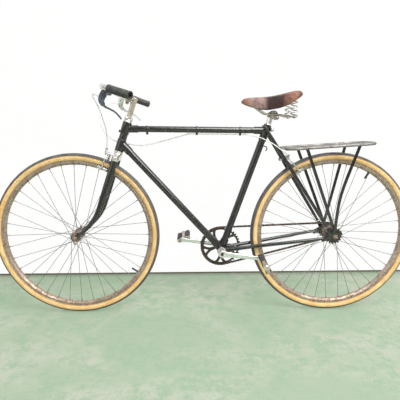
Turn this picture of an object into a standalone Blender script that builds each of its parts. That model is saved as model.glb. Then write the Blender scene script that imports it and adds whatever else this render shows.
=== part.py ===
"""Vintage flat-bar bicycle with a lugged steel frame, rear rack and sprung saddle.

Bicycle frame of reference while modelling: origin at the rear hub centre, +X to the rear,
+Y to the right-hand side of the machine, +Z up, metres. The empty "bicycle" then carries
everything so that the world origin is where the rider sits on the saddle.
"""
import math

import bmesh
import bpy
from mathutils import Matrix, Vector

# Wheels: the rim's bed comes first, and the frame makes room for the tyre
RIM_BED_R = 0.3085               # where the tyre's feet sit
RIM_FLANGE = 0.0080              # rim's edge above its bed
RIM_FLOOR = 0.0100               # bed above the rim's inner face
RIM_SHOULDER = 0.0100            # height of the rim's braking sides
RIM_HALF_WIDTH = 0.0120
RIM_LIP = 0.0022
CLEARANCE = 0.0003               # between pieces that seat in each other
TYRE_SECTION_R = 0.0175
TYRE_PAST_RIM = 0.000546         # tyre's foot past the rim's edge on each side
RIM_OUTER_R = RIM_BED_R + RIM_FLANGE
RIM_INNER_R = RIM_BED_R - RIM_FLOOR
TYRE_CENTRE_R = RIM_OUTER_R + CLEARANCE + math.sqrt(
    TYRE_SECTION_R ** 2 - (RIM_HALF_WIDTH + TYRE_PAST_RIM) ** 2)
TYRE_R = TYRE_CENTRE_R + TYRE_SECTION_R

# Driving dimensions: frame geometry
TYRE_TO_BRACKET = 0.1275         # room for the bracket and seat tube before the rear tyre
TOE_ROOM = 0.2634                # room behind the front tyre for the down tube and the toes
CHAINSTAY_LENGTH = TYRE_R + TYRE_TO_BRACKET
BRACKET_DROP = 0.068
BRACKET_BACK = math.sqrt(CHAINSTAY_LENGTH ** 2 - BRACKET_DROP ** 2)    # along the ground
WHEELBASE = BRACKET_BACK + TYRE_R + TOE_ROOM
SEAT_ANGLE = math.radians(70.5)
HEAD_ANGLE = math.radians(71.0)
FORK_RAKE = 0.061
SEAT_TUBE_LENGTH = 0.556
SEAT_POST_RISE = 0.050           # post above the seat tube's top, along it
HEAD_TUBE_FOOT = TYRE_R + 0.0280    # along the steering axis, up from hub height
HEAD_TUBE_LENGTH = 0.122
POST_NECK_R = 0.0108
TOP_TUBE_REAR_DOWN = 0.022       # below the seat tube's top, along it
TOP_TUBE_FRONT_DOWN = 0.028      # below the head tube's top, along it
DOWN_TUBE_FRONT_UP = 0.034       # above the head tube's foot, along it
WALL = 0.0012                    # lug and tube wall

# Tube radii
TOP_TUBE_R = 0.0127
DOWN_TUBE_R = 0.0143
SEAT_TUBE_R = 0.0143
HEAD_TUBE_R = 0.0163
BRACKET_R = 0.0195
BRACKET_WIDTH = 0.068
LUG_WALL = 0.0022
SOCKET_LENGTH = 0.034
LUG_TIP = 0.016
MITRE_REACH = BRACKET_R + 2 * SOCKET_LENGTH
TUBE_SIDES = 12
# Small hook behind the seat tube, out from the tube's skin and up along it
HOOK_DOWN = 0.085                # below the seat tube's top
HOOK_R = 0.0022
HOOK_ROWS = ((-0.0020, 0.0), (0.0080, 0.0025), (0.0150, -0.0015), (0.0175, -0.0080),
             (0.0145, -0.0150))

# Spokes and hubs
WHEEL_STEPS = 40
SPOKE_COUNT = 36
SPOKE_R = 0.0010
SPOKE_CROSS_ANGLE = math.radians(60.0)
SPOKE_OFFSET = 0.0013            # either side of the flange's middle
FLANGE_THICKNESS = 0.0048
AXLE_R = 0.0045
HUB_BORE_R = 0.0060

# Drive
CHAIN_PITCH = 0.0127
RING_TEETH = 42
COG_TEETH = 17
CHAIN_LINE = 0.044
TOOTH_HALF_THICKNESS = 0.0011
TOOTH_RISE = 0.0035
CHAIN_HALF_HEIGHT = 0.0040
CHAIN_INNER_GAP = 0.0017         # half the space between inner plates
PLATE = 0.0009
ROLLER_HALF = 0.0022
CRANK_LENGTH = 0.165
CRANK_TILT = math.radians(7.5)
CRANK_Y = 0.070
CRANK_THICKNESS = 0.012
SPINDLE_R = 0.0080

RING_HOLE_R = 0.0150
COG_THREAD_R = 0.0165

# Pedals, measured out from the crank's plane
PEDAL_START = 0.084
PEDAL_END = 0.186
PEDAL_SPINDLE_R = 0.0050
PEDAL_BARREL_R = 0.0105
PEDAL_LENGTH = 0.080
PEDAL_HEIGHT = 0.024
PEDAL_LEFT_TILT = math.radians(-65.0)
PEDAL_RIGHT_TILT = math.radians(20.0)

# Dropouts and axle
REAR_OPENING = 0.120
FRONT_OPENING = 0.100
DROPOUT_THICKNESS = 0.0045

# Rear stays
CHAINSTAY_R = 0.0085
SEATSTAY_R = 0.0070
SEATSTAY_FOOT = (-0.034, 0.0, 0.0366)
BRIDGE_OVER_TYRE = 0.0375        # brake bridge above the tyre's tread
BRIDGE_AHEAD = 0.0068            # brake bridge in front of the stays' centre line
BRIDGE_R = 0.0062

# Fork: BLADE_BEND is the height over which a blade curves forward
BLADE_TOP_Y = 0.0345
BLADE_ACROSS = 0.0085
BLADE_DEEP = 0.0140
BLADE_BEND = 0.155
# Blade sections: share of the height, half width across, half width fore and aft
BLADE_ROWS = ((0.035, 0.0050, 0.0060), (0.10, 0.0062, 0.0078), (0.20, 0.0068, 0.0095),
              (0.30, 0.0074, 0.0110), (0.45, 0.0080, 0.0125), (0.70, 0.0085, 0.0138),
              (0.955, 0.0085, 0.0140), (1.0, 0.0085, 0.0140))
# Fork end plate: x, z about the front axle
FORK_END = ((-0.012, -0.010), (0.004, -0.012), (0.013, -0.002), (0.022, 0.018), (0.014, 0.024),
            (0.004, 0.012), (-0.010, 0.009), (-0.014, 0.0))
CROWN_DEEP = 0.0175              # half the crown fore and aft
STEERER_R = 0.0138
QUILL_R = 0.0111

# Stem, handlebar and grips
STEM_RISE = 0.100
STEM_REACH = 0.024
BAR_R = 0.0111
GRIP_R = 0.0148
GRIP_LENGTH = 0.100
# Right half of the bar's centre line, from the middle of the stem's clamp: x, y, z
BAR_ROUTE = ((-0.0231, 0.0750, 0.0069), (-0.0551, 0.1500, 0.0239), (-0.0646, 0.1860, 0.0264),
             (-0.0561, 0.2070, 0.0234), (-0.0401, 0.2205, 0.0179), (0.0479, 0.2855, -0.0116))
LEVER_BAND_Y = 0.135             # where a lever's band sits on the bar
# Lever blade, from the clamp's middle: x, y, z, width, thickness
LEVER_ROWS = ((-0.0716, 0.193, -0.0131, 0.018, 0.0090), (-0.0661, 0.206, -0.0281, 0.016, 0.0050),
              (-0.0501, 0.222, -0.0441, 0.014, 0.0035), (-0.0111, 0.250, -0.0641, 0.013, 0.0030),
              (0.0119, 0.268, -0.0871, 0.012, 0.0030))

# Brakes
CALIPER_AHEAD = 0.036            # front calliper's middle ahead of the steering axis
CALIPER_BEHIND = 0.019           # rear calliper's middle behind the brake bridge
FRONT_ARM_LEAN = math.radians(4.63)    # from the steering axis, forward
REAR_ARM_LEAN = math.radians(10.49)    # from the seat stays, backward
PAD_DOWN = 0.0090                # pad's middle in from the rim's edge
PAD_LENGTH = 0.040
PAD_HEIGHT = 0.010
CABLE_ARM_OUT = 0.040
FRONT_CABLE_ARM = (0.36, 0.008)  # share of the arm's drop that it rises, and reach forward
REAR_CABLE_ARM = (0.12, 0.008)
CABLE_ARM_R = 0.0040
PAD_GAP = 0.0030
PAD_THICKNESS = 0.0085
ARM_R = 0.0045
CABLE_R = 0.0026
CABLE_DROP = TOP_TUBE_R + 0.0046    # cable centre below the top tube's centre
CLIP_SHARES = (0.152, 0.506, 0.816)    # places of the cable clips along the top tube

# Cable points by the bar, from the middle of the stem's clamp: x, y, z
FRONT_CABLE_BAR = ((-0.0841, -0.1720, -0.0061), (-0.0991, -0.1690, 0.0014), (-0.1051, -0.1620, -0.0061),
                   (-0.0941, -0.1500, -0.0331), (-0.0866, -0.1300, -0.0601), (-0.0841, -0.1050, -0.0891))
# The same for the rear brake's cable
REAR_CABLE_BAR = ((-0.0841, 0.1720, -0.0101), (-0.1111, 0.1560, -0.0171), (-0.1331, 0.1310, -0.0371),
                  (-0.1401, 0.1000, -0.0701))
# Cable points by the head tube, from its foot
FRONT_CABLE_HEAD = ((-0.0336, -0.0850, 0.1009), (-0.0336, -0.0640, 0.0699), (-0.0354, -0.0500, 0.0439))
# The rear brake's loop, up to where the frame holds it
REAR_CABLE_HEAD = ((-0.0814, 0.0700, 0.1039), (-0.0619, 0.0500, 0.0709), (-0.0344, 0.0370, 0.0479),
                   (-0.0164, 0.0330, 0.0379), (0.0086, 0.0310, 0.0309), (0.0326, 0.0300, 0.0274))
# From there along the frame to the top tube
REAR_CABLE_FRAME = ((0.0332, 0.0300, 0.0273), (0.0446, 0.0300, 0.0257), (0.0812, 0.0290, 0.0204),
                    (0.1275, 0.0280, 0.0259), (0.1878, 0.0240, 0.0408), (0.2496, 0.0090, 0.0579))
# Past the seat tube to the calliper, from the top tube's rear end
REAR_CABLE_STAYS = ((-0.0492, -0.0180, -0.0224), (-0.0242, -0.0340, -0.0294), (0.0008, -0.0420, -0.0404),
                    (0.0317, -0.0430, -0.0574), (0.0658, -0.0415, -0.0834))
CABLE_RUN = (0.450, 0.476, 0.537, 0.791, 0.835, 0.858)    # places under the top tube

# Saddle sections from nose to tail, from the seat post's top: x, half width, top, edge
SADDLE_ROWS = ((-0.1252, 0.012, 0.0488, 0.0348), (-0.1112, 0.021, 0.0568, 0.0268),
               (-0.0682, 0.025, 0.0603, 0.0208), (-0.0232, 0.036, 0.0633, 0.0168),
               (0.0218, 0.064, 0.0708, 0.0228), (0.0618, 0.080, 0.0818, 0.0388),
               (0.0888, 0.079, 0.0878, 0.0568), (0.1048, 0.066, 0.0818, 0.0688))
# Across the saddle: share of the half width, share of the drop to the edge
SADDLE_CROSS = ((-1.0, 1.0), (-0.98, 0.5), (-0.80, 0.12), (-0.42, 0.01), (0.0, 0.03),
                (0.42, 0.01), (0.80, 0.12), (0.98, 0.5), (1.0, 1.0))
LEATHER = 0.0045
PLATE_STEEL = 0.0030             # cantle and nose plate under the leather
SPRING_X = 0.0768                  # behind the post's top
SPRING_Y = 0.052
SPRING_R = 0.0135
SPRING_WIRE_R = 0.0023
SPRING_TURNS = 4.5
SPRING_STEPS = 8
RAIL_R = 0.0035

# Rack
RACK_FRONT = (-0.217, 0.0, TYRE_R + 0.0152)
RACK_REAR = (0.157, 0.0, TYRE_R + 0.0385)
RACK_HALF_WIDTH = 0.078
RACK_TUBE_R = 0.0055
RACK_EYE = (0.0215, 0.0, 0.0145)

NOSE_X = -0.1052                 # rails' front bend, from the post's top
CLAMP_X = 0.0048                 # clamp's middle behind the post's top
SPRING_SEAT = 0.0040             # thickness of the bar under the springs
RAIL_Z = -0.0042                 # rails' height from the post's top
# Right rail from the nose back, from the post's top: x, y, and height above RAIL_Z
RAIL_ROWS = ((-0.0782, 0.0120, 0.0340), (-0.0382, 0.0180, 0.0070), (-0.0182, 0.0200, 0.0010),
             (0.0268, 0.0220, -0.0020), (0.0618, 0.0380, -0.0080), (0.0788, 0.0500, -0.0100))

# Place of the rider on the saddle from the post's top, which becomes the world origin
RIDER_X = 0.04481
RIDER_Z = 0.08276


def wipe():
    for item in list(bpy.data.objects):
        bpy.data.objects.remove(item, do_unlink=True)


wipe()
bike = bpy.data.collections.new("vintage_bicycle")
bpy.context.scene.collection.children.link(bike)
cutters = bpy.data.collections.new("cutters")
bpy.context.scene.collection.children.link(cutters)

# Worked-out points
Y = Vector((0, 1, 0))
rear_hub = Vector((0, 0, 0))
front_hub = Vector((-WHEELBASE, 0, 0))
bracket = Vector((-BRACKET_BACK, 0, -BRACKET_DROP))
seat_dir = Vector((math.cos(SEAT_ANGLE), 0, math.sin(SEAT_ANGLE)))
head_dir = Vector((math.cos(HEAD_ANGLE), 0, math.sin(HEAD_ANGLE)))
head_front = Vector((-math.sin(HEAD_ANGLE), 0, math.cos(HEAD_ANGLE)))
head_base = front_hub + Vector((FORK_RAKE / math.sin(HEAD_ANGLE), 0, 0))
fork_foot = front_hub - head_front * FORK_RAKE
head_foot = head_base + head_dir * HEAD_TUBE_FOOT
head_top = head_foot + head_dir * HEAD_TUBE_LENGTH
seat_top = bracket + seat_dir * SEAT_TUBE_LENGTH
top_rear = seat_top - seat_dir * TOP_TUBE_REAR_DOWN
top_front = head_top - head_dir * TOP_TUBE_FRONT_DOWN
down_front = head_foot + head_dir * DOWN_TUBE_FRONT_UP
post_top = seat_top + seat_dir * SEAT_POST_RISE
rider = post_top + Vector((RIDER_X, 0, RIDER_Z))
quill_top = head_top + head_dir * STEM_RISE
bar_clamp = quill_top - head_dir * 0.006 + head_front * STEM_REACH
seatstay_foot = Vector(SEATSTAY_FOOT)
stay_high = top_rear + Vector((-0.0015, 0, 0.006))
stay_down = (seatstay_foot - stay_high).normalized()
stay_front = Vector((stay_down.z, 0, -stay_down.x))


def bridge_point():
    """Middle of the brake bridge: in front of the seat stays, clear of the tyre."""
    start = stay_high + stay_front * BRIDGE_AHEAD
    reach = TYRE_R + BRIDGE_OVER_TYRE
    along = start.dot(stay_down)
    return start + stay_down * (-along - math.sqrt(along ** 2 - start.dot(start) + reach ** 2))


brake_bridge = bridge_point()
dropout_y = REAR_OPENING / 2 + DROPOUT_THICKNESS / 2
fork_end_y = FRONT_OPENING / 2 + DROPOUT_THICKNESS / 2


def paint(name, colour, roughness, metallic):
    mat = bpy.data.materials.new(name)
    mat.use_nodes = True
    shader = mat.node_tree.nodes["Principled BSDF"]
    shader.inputs["Base Color"].default_value = (*colour, 1)
    shader.inputs["Roughness"].default_value = roughness
    shader.inputs["Metallic"].default_value = metallic
    mat.diffuse_color = (*colour, 1)
    return mat


enamel = paint("black_enamel", (0.035, 0.032, 0.030), 0.42, 0.2)
chrome = paint("dull_chrome", (0.55, 0.53, 0.50), 0.32, 1.0)
alloy = paint("dull_alloy", (0.60, 0.60, 0.58), 0.40, 1.0)
rusty = paint("rusty_steel", (0.26, 0.17, 0.12), 0.65, 0.6)
rim_steel = paint("rim_steel", (0.38, 0.30, 0.25), 0.50, 0.8)
dark_steel = paint("dark_steel", (0.09, 0.08, 0.075), 0.50, 0.8)
tyre_rubber = paint("tyre_rubber", (0.62, 0.42, 0.20), 0.80, 0.0)
black_rubber = paint("black_rubber", (0.02, 0.02, 0.02), 0.70, 0.0)
grip_rubber = paint("grip_rubber", (0.03, 0.035, 0.03), 0.65, 0.0)
leather = paint("brown_leather", (0.16, 0.07, 0.035), 0.50, 0.0)
housing = paint("cable_housing", (0.62, 0.62, 0.60), 0.50, 0.0)
lever_blue = paint("lever_blue_grey", (0.06, 0.08, 0.10), 0.40, 0.5)

joint_points = {}


def empty(name, point, parent=None):
    node = bpy.data.objects.new(name, None)
    node.empty_display_size = 0.05
    bike.objects.link(node)
    base = Vector((0, 0, 0))
    if parent:
        node.parent = parent
        base = joint_points[parent.name]
    node.location = Vector(point) - base
    joint_points[name] = Vector(point)
    return node


root = empty("bicycle", (0, 0, 0))
root.location = -rider
steering = empty("steering_axis", head_foot, root)
front_axis = empty("front_wheel_axis", front_hub, steering)
rear_axis = empty("rear_wheel_axis", rear_hub, root)
crank_axis = empty("crank_axis", bracket, root)
crank_dir = Vector((math.cos(CRANK_TILT), 0, -math.sin(CRANK_TILT)))
pedal_left_point = bracket + crank_dir * CRANK_LENGTH
pedal_right_point = bracket - crank_dir * CRANK_LENGTH
pedal_left_axis = empty("pedal_left_axis", pedal_left_point, crank_axis)
pedal_right_axis = empty("pedal_right_axis", pedal_right_point, crank_axis)


def place(obj, parent, point, mat, aim=None):
    """Hang an object on its parent with its local Z along aim."""
    obj.parent = parent
    obj.location = Vector(point) - joint_points[parent.name]
    if aim is not None:
        obj.rotation_mode = "QUATERNION"
        obj.rotation_quaternion = Vector(aim).to_track_quat("Z", "Y")
    if mat:
        obj.data.materials.clear()
        obj.data.materials.append(mat)
    return obj


def from_bmesh(name, bm, smooth=True):
    mesh = bpy.data.meshes.new(name)
    bmesh.ops.recalc_face_normals(bm, faces=bm.faces)
    bm.to_mesh(mesh)
    bm.free()
    if smooth:
        mesh.shade_smooth()
        mesh.set_sharp_from_angle(angle=math.radians(35))
    obj = bpy.data.objects.new(name, mesh)
    bike.objects.link(obj)
    return obj


def clear_bore(radius, sides):
    """Corner radius of a faceted hole whose flats still clear a shaft of that radius."""
    return (radius + CLEARANCE) / math.cos(math.pi / sides)


def as_cutter(obj):
    bike.objects.unlink(obj)
    cutters.objects.link(obj)
    obj.hide_render = True
    obj.display_type = "WIRE"
    return obj


def boolean(obj, other, operation):
    mod = obj.modifiers.new(operation.lower(), "BOOLEAN")
    mod.operation = operation
    mod.object = as_cutter(other)
    mod.solver = "EXACT"
    return obj


def cut(obj, *others):
    for other in others:
        boolean(obj, other, "DIFFERENCE")
    return obj


def join(obj, *others):
    for other in others:
        boolean(obj, other, "UNION")
    return obj


def pipe(name, parent, start, end, r_out, r_in=0.0, sides=TUBE_SIDES, mat=None, tip=None,
         tip_start=None, r_end=None, twist=0.0):
    """A straight tube or rod from start to end; tip and tip_start shape its two ends.

    twist turns it about its own axis, as a share of one facet."""
    start, end = Vector(start), Vector(end)
    length = (end - start).length
    r_far = r_out if r_end is None else r_end
    bm = bmesh.new()
    if r_in <= 0:
        bmesh.ops.create_cone(bm, cap_ends=True, segments=sides, radius1=r_out, radius2=r_far,
                              depth=length, matrix=Matrix.Translation((0, 0, length / 2)))
    else:
        corners = [bm.verts.new(p) for p in ((r_out, 0, 0), (r_far, 0, length),
                                             (r_in, 0, length), (r_in, 0, 0))]
        edges = [bm.edges.new((corners[i], corners[(i + 1) % 4])) for i in range(4)]
        bmesh.ops.spin(bm, geom=corners + edges, cent=(0, 0, 0), axis=(0, 0, 1),
                       angle=2 * math.pi, steps=sides, use_merge=True)
        for v in bm.verts:
            angle = math.atan2(v.co.y, v.co.x)
            if tip and v.co.z > length / 2:
                v.co.z += tip(angle)
            elif tip_start and v.co.z < length / 2:
                v.co.z += tip_start(angle)
    spin = Matrix.Rotation(twist * 2 * math.pi / sides, 4, "Z")
    bmesh.ops.transform(bm, matrix=spin, verts=bm.verts)
    obj = from_bmesh(name, bm)
    return place(obj, parent, start, mat, end - start)


def lug_point(long=LUG_TIP, along_x=True):
    """End shape of a lug sleeve: two points on opposite sides of the tube."""
    def shift(angle):
        side = abs(math.cos(angle)) if along_x else abs(math.sin(angle))
        return long * max(0.0, (side - 0.60) / 0.40) ** 1.6
    return shift


def turned(name, parent, point, profile, mat, sides=TUBE_SIDES, aim=Y):
    """A turned solid: profile rows are (radius, along), outer side top to bottom."""
    mesh = bpy.data.meshes.new(name)
    bm = bmesh.new()
    verts = [bm.verts.new((r, 0, z)) for r, z in profile]
    for a, b in zip(verts, verts[1:]):
        bm.edges.new((a, b))
    if profile[0][0] > 0 and profile[-1][0] > 0:
        bm.edges.new((verts[-1], verts[0]))
    bm.to_mesh(mesh)
    bm.free()
    obj = bpy.data.objects.new(name, mesh)
    bike.objects.link(obj)
    screw = obj.modifiers.new("turn", "SCREW")
    screw.steps = sides
    screw.render_steps = sides
    screw.use_merge_vertices = True
    screw.use_normal_calculate = False
    screw.merge_threshold = 0.00005
    screw.use_smooth_shade = True
    return place(obj, parent, point, mat, aim)


def loft(name, parent, origin, sections, mat, smooth=True):
    """A closed skin over sections of equal point count, given about origin."""
    origin = Vector(origin)
    bm = bmesh.new()
    loops = [[bm.verts.new(Vector(p) - origin) for p in loop] for loop in sections]
    count = len(loops[0])
    for low, high in zip(loops, loops[1:]):
        for i in range(count):
            j = (i + 1) % count
            bm.faces.new((low[i], low[j], high[j], high[i]))
    bm.faces.new(loops[0])
    bm.faces.new(list(reversed(loops[-1])))
    return place(from_bmesh(name, bm, smooth), parent, origin, mat)


def oval(centre, u, v, ru, rv, sides=10):
    return [centre + u * (ru * math.cos(2 * math.pi * i / sides))
            + v * (rv * math.sin(2 * math.pi * i / sides)) for i in range(sides)]


def bar_sections(rows, across):
    """Rectangular sections along a path: rows are (point, width, thickness)."""
    across = Vector(across).normalized()
    points = [Vector(r[0]) for r in rows]
    out = []
    for i, (p, width, thick) in enumerate(rows):
        ahead = points[min(i + 1, len(points) - 1)] - points[max(i - 1, 0)]
        side = (across - ahead.normalized() * across.dot(ahead.normalized())).normalized()
        normal = ahead.normalized().cross(side)
        p = Vector(p)
        out.append([p + side * (a * width / 2) + normal * (b * thick / 2)
                    for a, b in ((-1, -1), (1, -1), (1, 1), (-1, 1))])
    return out


def wire(name, parent, points, radius, mat, resolution=1, origin=None, cyclic=False):
    """A round wire or cable along points."""
    origin = Vector(origin if origin is not None else points[0])
    data = bpy.data.curves.new(name, "CURVE")
    data.dimensions = "3D"
    data.bevel_depth = radius
    data.bevel_resolution = resolution
    data.use_fill_caps = True
    spline = data.splines.new("POLY")
    spline.points.add(len(points) - 1)
    for knot, p in zip(spline.points, points):
        knot.co = (*(Vector(p) - origin), 1)
    spline.use_cyclic_u = cyclic
    obj = bpy.data.objects.new(name, data)
    bike.objects.link(obj)
    return place(obj, parent, origin, mat)


def as_mesh(curve_obj):
    """A curve made into a welded mesh object, so that it can be cut or joined."""
    bpy.context.view_layer.update()
    graph = bpy.context.evaluated_depsgraph_get()
    mesh = bpy.data.meshes.new_from_object(curve_obj.evaluated_get(graph))
    name = curve_obj.name
    matrix = curve_obj.matrix_world.copy()
    parent = curve_obj.parent
    bpy.data.objects.remove(curve_obj, do_unlink=True)
    bm = bmesh.new()
    bm.from_mesh(mesh)
    bmesh.ops.remove_doubles(bm, verts=bm.verts, dist=0.00001)
    bmesh.ops.recalc_face_normals(bm, faces=bm.faces)
    bm.to_mesh(mesh)
    bm.free()
    obj = bpy.data.objects.new(name, mesh)
    bike.objects.link(obj)
    obj.parent = parent
    obj.matrix_world = matrix
    return obj


def smooth_path(points, per_span=4):
    """Points of a smooth curve through the given ones."""
    pts = [Vector(p) for p in points]
    pts = [pts[0] * 2 - pts[1]] + pts + [pts[-1] * 2 - pts[-2]]
    out = []
    for a, b, c, d in zip(pts, pts[1:], pts[2:], pts[3:]):
        for k in range(per_span):
            t = k / per_span
            out.append(0.5 * (2 * b + (c - a) * t + (2 * a - 5 * b + 4 * c - d) * t * t
                              + (3 * b - a - 3 * c + d) * t ** 3))
    out.append(pts[-2])
    return out


def flat_curve(name, parent, point, outlines, half_thickness, mat):
    """A flat plate in the XZ plane: the first outline is its edge, the rest are holes."""
    data = bpy.data.curves.new(name, "CURVE")
    data.dimensions = "2D"
    data.fill_mode = "BOTH"
    data.extrude = half_thickness
    for outline in outlines:
        spline = data.splines.new("POLY")
        spline.points.add(len(outline) - 1)
        for knot, (x, z) in zip(spline.points, outline):
            knot.co = (x, z, 0, 1)
        spline.use_cyclic_u = True
    obj = bpy.data.objects.new(name, data)
    bike.objects.link(obj)
    place(obj, parent, point, mat)
    obj.rotation_mode = "XYZ"
    obj.rotation_euler = (math.radians(90), 0, 0)
    return obj


def mirrored(point):
    p = Vector(point)
    return Vector((p.x, -p.y, p.z))


def head_tube():
    length, collar = HEAD_TUBE_LENGTH, HEAD_TUBE_R + 0.0020
    tube = turned("head_tube", root, head_foot, [
        (STEERER_R - 0.001, length), (collar, length), (collar, length - 0.046),
        (HEAD_TUBE_R, length - 0.049), (HEAD_TUBE_R, 0.053), (collar, 0.050), (collar, 0.0),
        (STEERER_R - 0.001, 0.0)], enamel, aim=head_dir)
    top_dir = (top_rear - top_front).normalized()
    down_dir = (bracket - down_front).normalized()
    sleeves = []
    for name, at, way, r in (("lug_top", top_front, top_dir, TOP_TUBE_R),
                             ("lug_down", down_front, down_dir, DOWN_TUBE_R)):
        reach = HEAD_TUBE_R + SOCKET_LENGTH
        sleeves.append(pipe(name, root, at, at + way * reach, r + CLEARANCE + LUG_WALL,
                            r_in=r + CLEARANCE, tip=lug_point()))
    bore = pipe("steerer_bore", root, head_foot - head_dir * 0.02, head_top + head_dir * 0.02,
                clear_bore(STEERER_R, TUBE_SIDES))
    boss = pipe("head_boss", root, head_foot + head_dir * 0.078,
                head_foot + head_dir * 0.078 + head_front * 0.0235, 0.0045, sides=8)
    join(tube, *sleeves, boss)
    cut(tube, bore)
    return tube


def top_at(share):
    """Point of the top tube's centre line, by its share from the front."""
    return top_front.lerp(top_rear, share)


def main_tubes():
    """Top, down and seat tubes, mitred to seat inside their lugs."""
    bore_r = HEAD_TUBE_R + 0.0020 + CLEARANCE
    top = pipe("top_tube", root, top_front + (top_rear - top_front).normalized() * 0.004,
               top_rear, TOP_TUBE_R, TOP_TUBE_R - WALL, mat=enamel)
    head_cut = pipe("head_cut_top", root, head_foot - head_dir * 0.03, head_top + head_dir * 0.03,
                    bore_r, sides=24)
    seat_cut = pipe("seat_cut_top", root, top_rear - seat_dir * 0.06, top_rear + seat_dir * 0.06,
                    SEAT_TUBE_R + LUG_WALL + CLEARANCE, sides=24)
    top_way = (top_rear - top_front).normalized()
    clips = []
    for share in CLIP_SHARES:
        middle = top_at(share)
        clips.append(pipe("clip_band", root, middle - top_way * 0.004, middle + top_way * 0.004,
                          TOP_TUBE_R + 0.0015, TOP_TUBE_R - 0.0005, twist=0.5))
        low = middle - Vector((0, 0, CABLE_DROP))
        clips.append(pipe("clip_eye", root, low - top_way * 0.0045, low + top_way * 0.0045,
                          clear_bore(CABLE_R, 6) + 0.0012, clear_bore(CABLE_R, 6), sides=6))
    join(top, *clips)
    cut(top, head_cut, seat_cut)
    down = pipe("down_tube", root, down_front + (bracket - down_front).normalized() * 0.004,
                bracket, DOWN_TUBE_R, DOWN_TUBE_R - WALL, mat=enamel)
    head_cut = pipe("head_cut_down", root, head_foot - head_dir * 0.03,
                    head_top + head_dir * 0.03, bore_r, sides=24)
    shell_cut = pipe("shell_cut_down", root, bracket - Y * 0.05, bracket + Y * 0.05,
                     BRACKET_R + CLEARANCE, sides=24)
    seat_mitre = pipe("seat_mitre", root, bracket, bracket + seat_dir * MITRE_REACH,
                      SEAT_TUBE_R + 2 * CLEARANCE, sides=24)
    cut(down, head_cut, shell_cut, seat_mitre)
    return top, down


def seat_cluster():
    """Seat tube with its lug, top-tube socket, binder ears and the small hook behind."""
    foot = bracket + seat_dir * (BRACKET_R + 0.0010)
    tube = pipe("seat_tube", root, foot, seat_top, SEAT_TUBE_R, SEAT_TUBE_R - 2 * WALL,
                mat=enamel, twist=0.5)
    sleeve = pipe("seat_lug", root, seat_top - seat_dir * 0.048, seat_top + seat_dir * WALL,
                  SEAT_TUBE_R + LUG_WALL, SEAT_TUBE_R - WALL / 2,
                  tip_start=lambda a: -lug_point(along_x=False)(a))
    top_dir = (top_front - top_rear).normalized()
    socket = pipe("seat_socket", root, top_rear, top_rear + top_dir * (SEAT_TUBE_R + SOCKET_LENGTH),
                  TOP_TUBE_R + CLEARANCE + LUG_WALL, TOP_TUBE_R + CLEARANCE, tip=lug_point())
    back = Vector((math.sin(SEAT_ANGLE), 0, -math.cos(SEAT_ANGLE)))
    ear_point = seat_top - seat_dir * 0.012 + back * (SEAT_TUBE_R + 0.007)
    ears = pipe("binder_ears", root, ear_point - Y * 0.014, ear_point + Y * 0.014, 0.0075,
                sides=12)
    bolt = pipe("binder_bolt", root, ear_point - Y * 0.020, ear_point + Y * 0.020, 0.0042,
                sides=6)
    hook_point = seat_top - seat_dir * HOOK_DOWN
    hook = wire("hook", root, [hook_point + back * (SEAT_TUBE_R + out) + seat_dir * up
                               for out, up in HOOK_ROWS], HOOK_R, enamel)
    hook = as_mesh(hook)
    bore = pipe("post_bore", root, seat_top - seat_dir * 0.20, seat_top + seat_dir * 0.05,
                SEAT_TUBE_R - WALL, twist=0.5)
    join(tube, sleeve, socket, ears, bolt, hook)
    cut(tube, bore)
    return tube


def bracket_shell():
    half = BRACKET_WIDTH / 2
    shell = pipe("bracket_shell", root, bracket - Y * half, bracket + Y * half, BRACKET_R,
                 BRACKET_R - 0.005, sides=20, mat=enamel, twist=0.37)
    seat_socket = pipe("shell_seat_socket", root, bracket + seat_dir * 0.010,
                       bracket + seat_dir * (BRACKET_R + SOCKET_LENGTH * 0.8),
                       SEAT_TUBE_R + CLEARANCE + LUG_WALL, SEAT_TUBE_R - WALL,
                       tip=lug_point())
    way = (down_front - bracket).normalized()
    down_socket = pipe("shell_down_socket", root, bracket + way * 0.010,
                       bracket + way * (BRACKET_R + SOCKET_LENGTH * 0.8),
                       DOWN_TUBE_R + CLEARANCE + LUG_WALL, DOWN_TUBE_R - WALL,
                       tip=lug_point())
    join(shell, seat_socket, down_socket)
    for side in (-1, 1):
        start = stay_points(side)[0]
        ahead = stay_points(side)[1]
        way = (ahead - start).normalized()
        sleeve = pipe("shell_stay_socket", root, start - way * 0.012, start + way * 0.014,
                      CHAINSTAY_R + CLEARANCE + LUG_WALL, sides=12)
        join(shell, sleeve)
    for side in (-1, 1):
        start = stay_points(side)[0]
        way = (stay_points(side)[1] - start).normalized()
        hole = pipe("shell_stay_hole", root, start - way * CLEARANCE, start + way * 0.05,
                    CHAINSTAY_R + CLEARANCE, sides=12)
        cut(shell, hole)
    for way, r in ((seat_dir, SEAT_TUBE_R), ((down_front - bracket).normalized(), DOWN_TUBE_R)):
        cut(shell, pipe("shell_tube_hole", root, bracket + way * 0.010, bracket + way * MITRE_REACH,
                        clear_bore(r, TUBE_SIDES), twist=0.3))
    bore = pipe("shell_bore", root, bracket - Y * 0.06, bracket + Y * 0.06, BRACKET_R - 0.004,
                sides=20, twist=0.37)
    cut(shell, bore)
    return shell


def stay_points(side):
    """Centre line of a chainstay, from the bracket shell to the dropout."""
    way = (rear_hub - bracket).normalized()
    rows = ((0.028, 0.0238), (0.090, 0.0280), (0.140, 0.0310),
            (CHAINSTAY_LENGTH - 0.174, 0.0505), (CHAINSTAY_LENGTH - 0.054, 0.0615))
    return [bracket + way * along + Y * (side * out) for along, out in rows]


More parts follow.
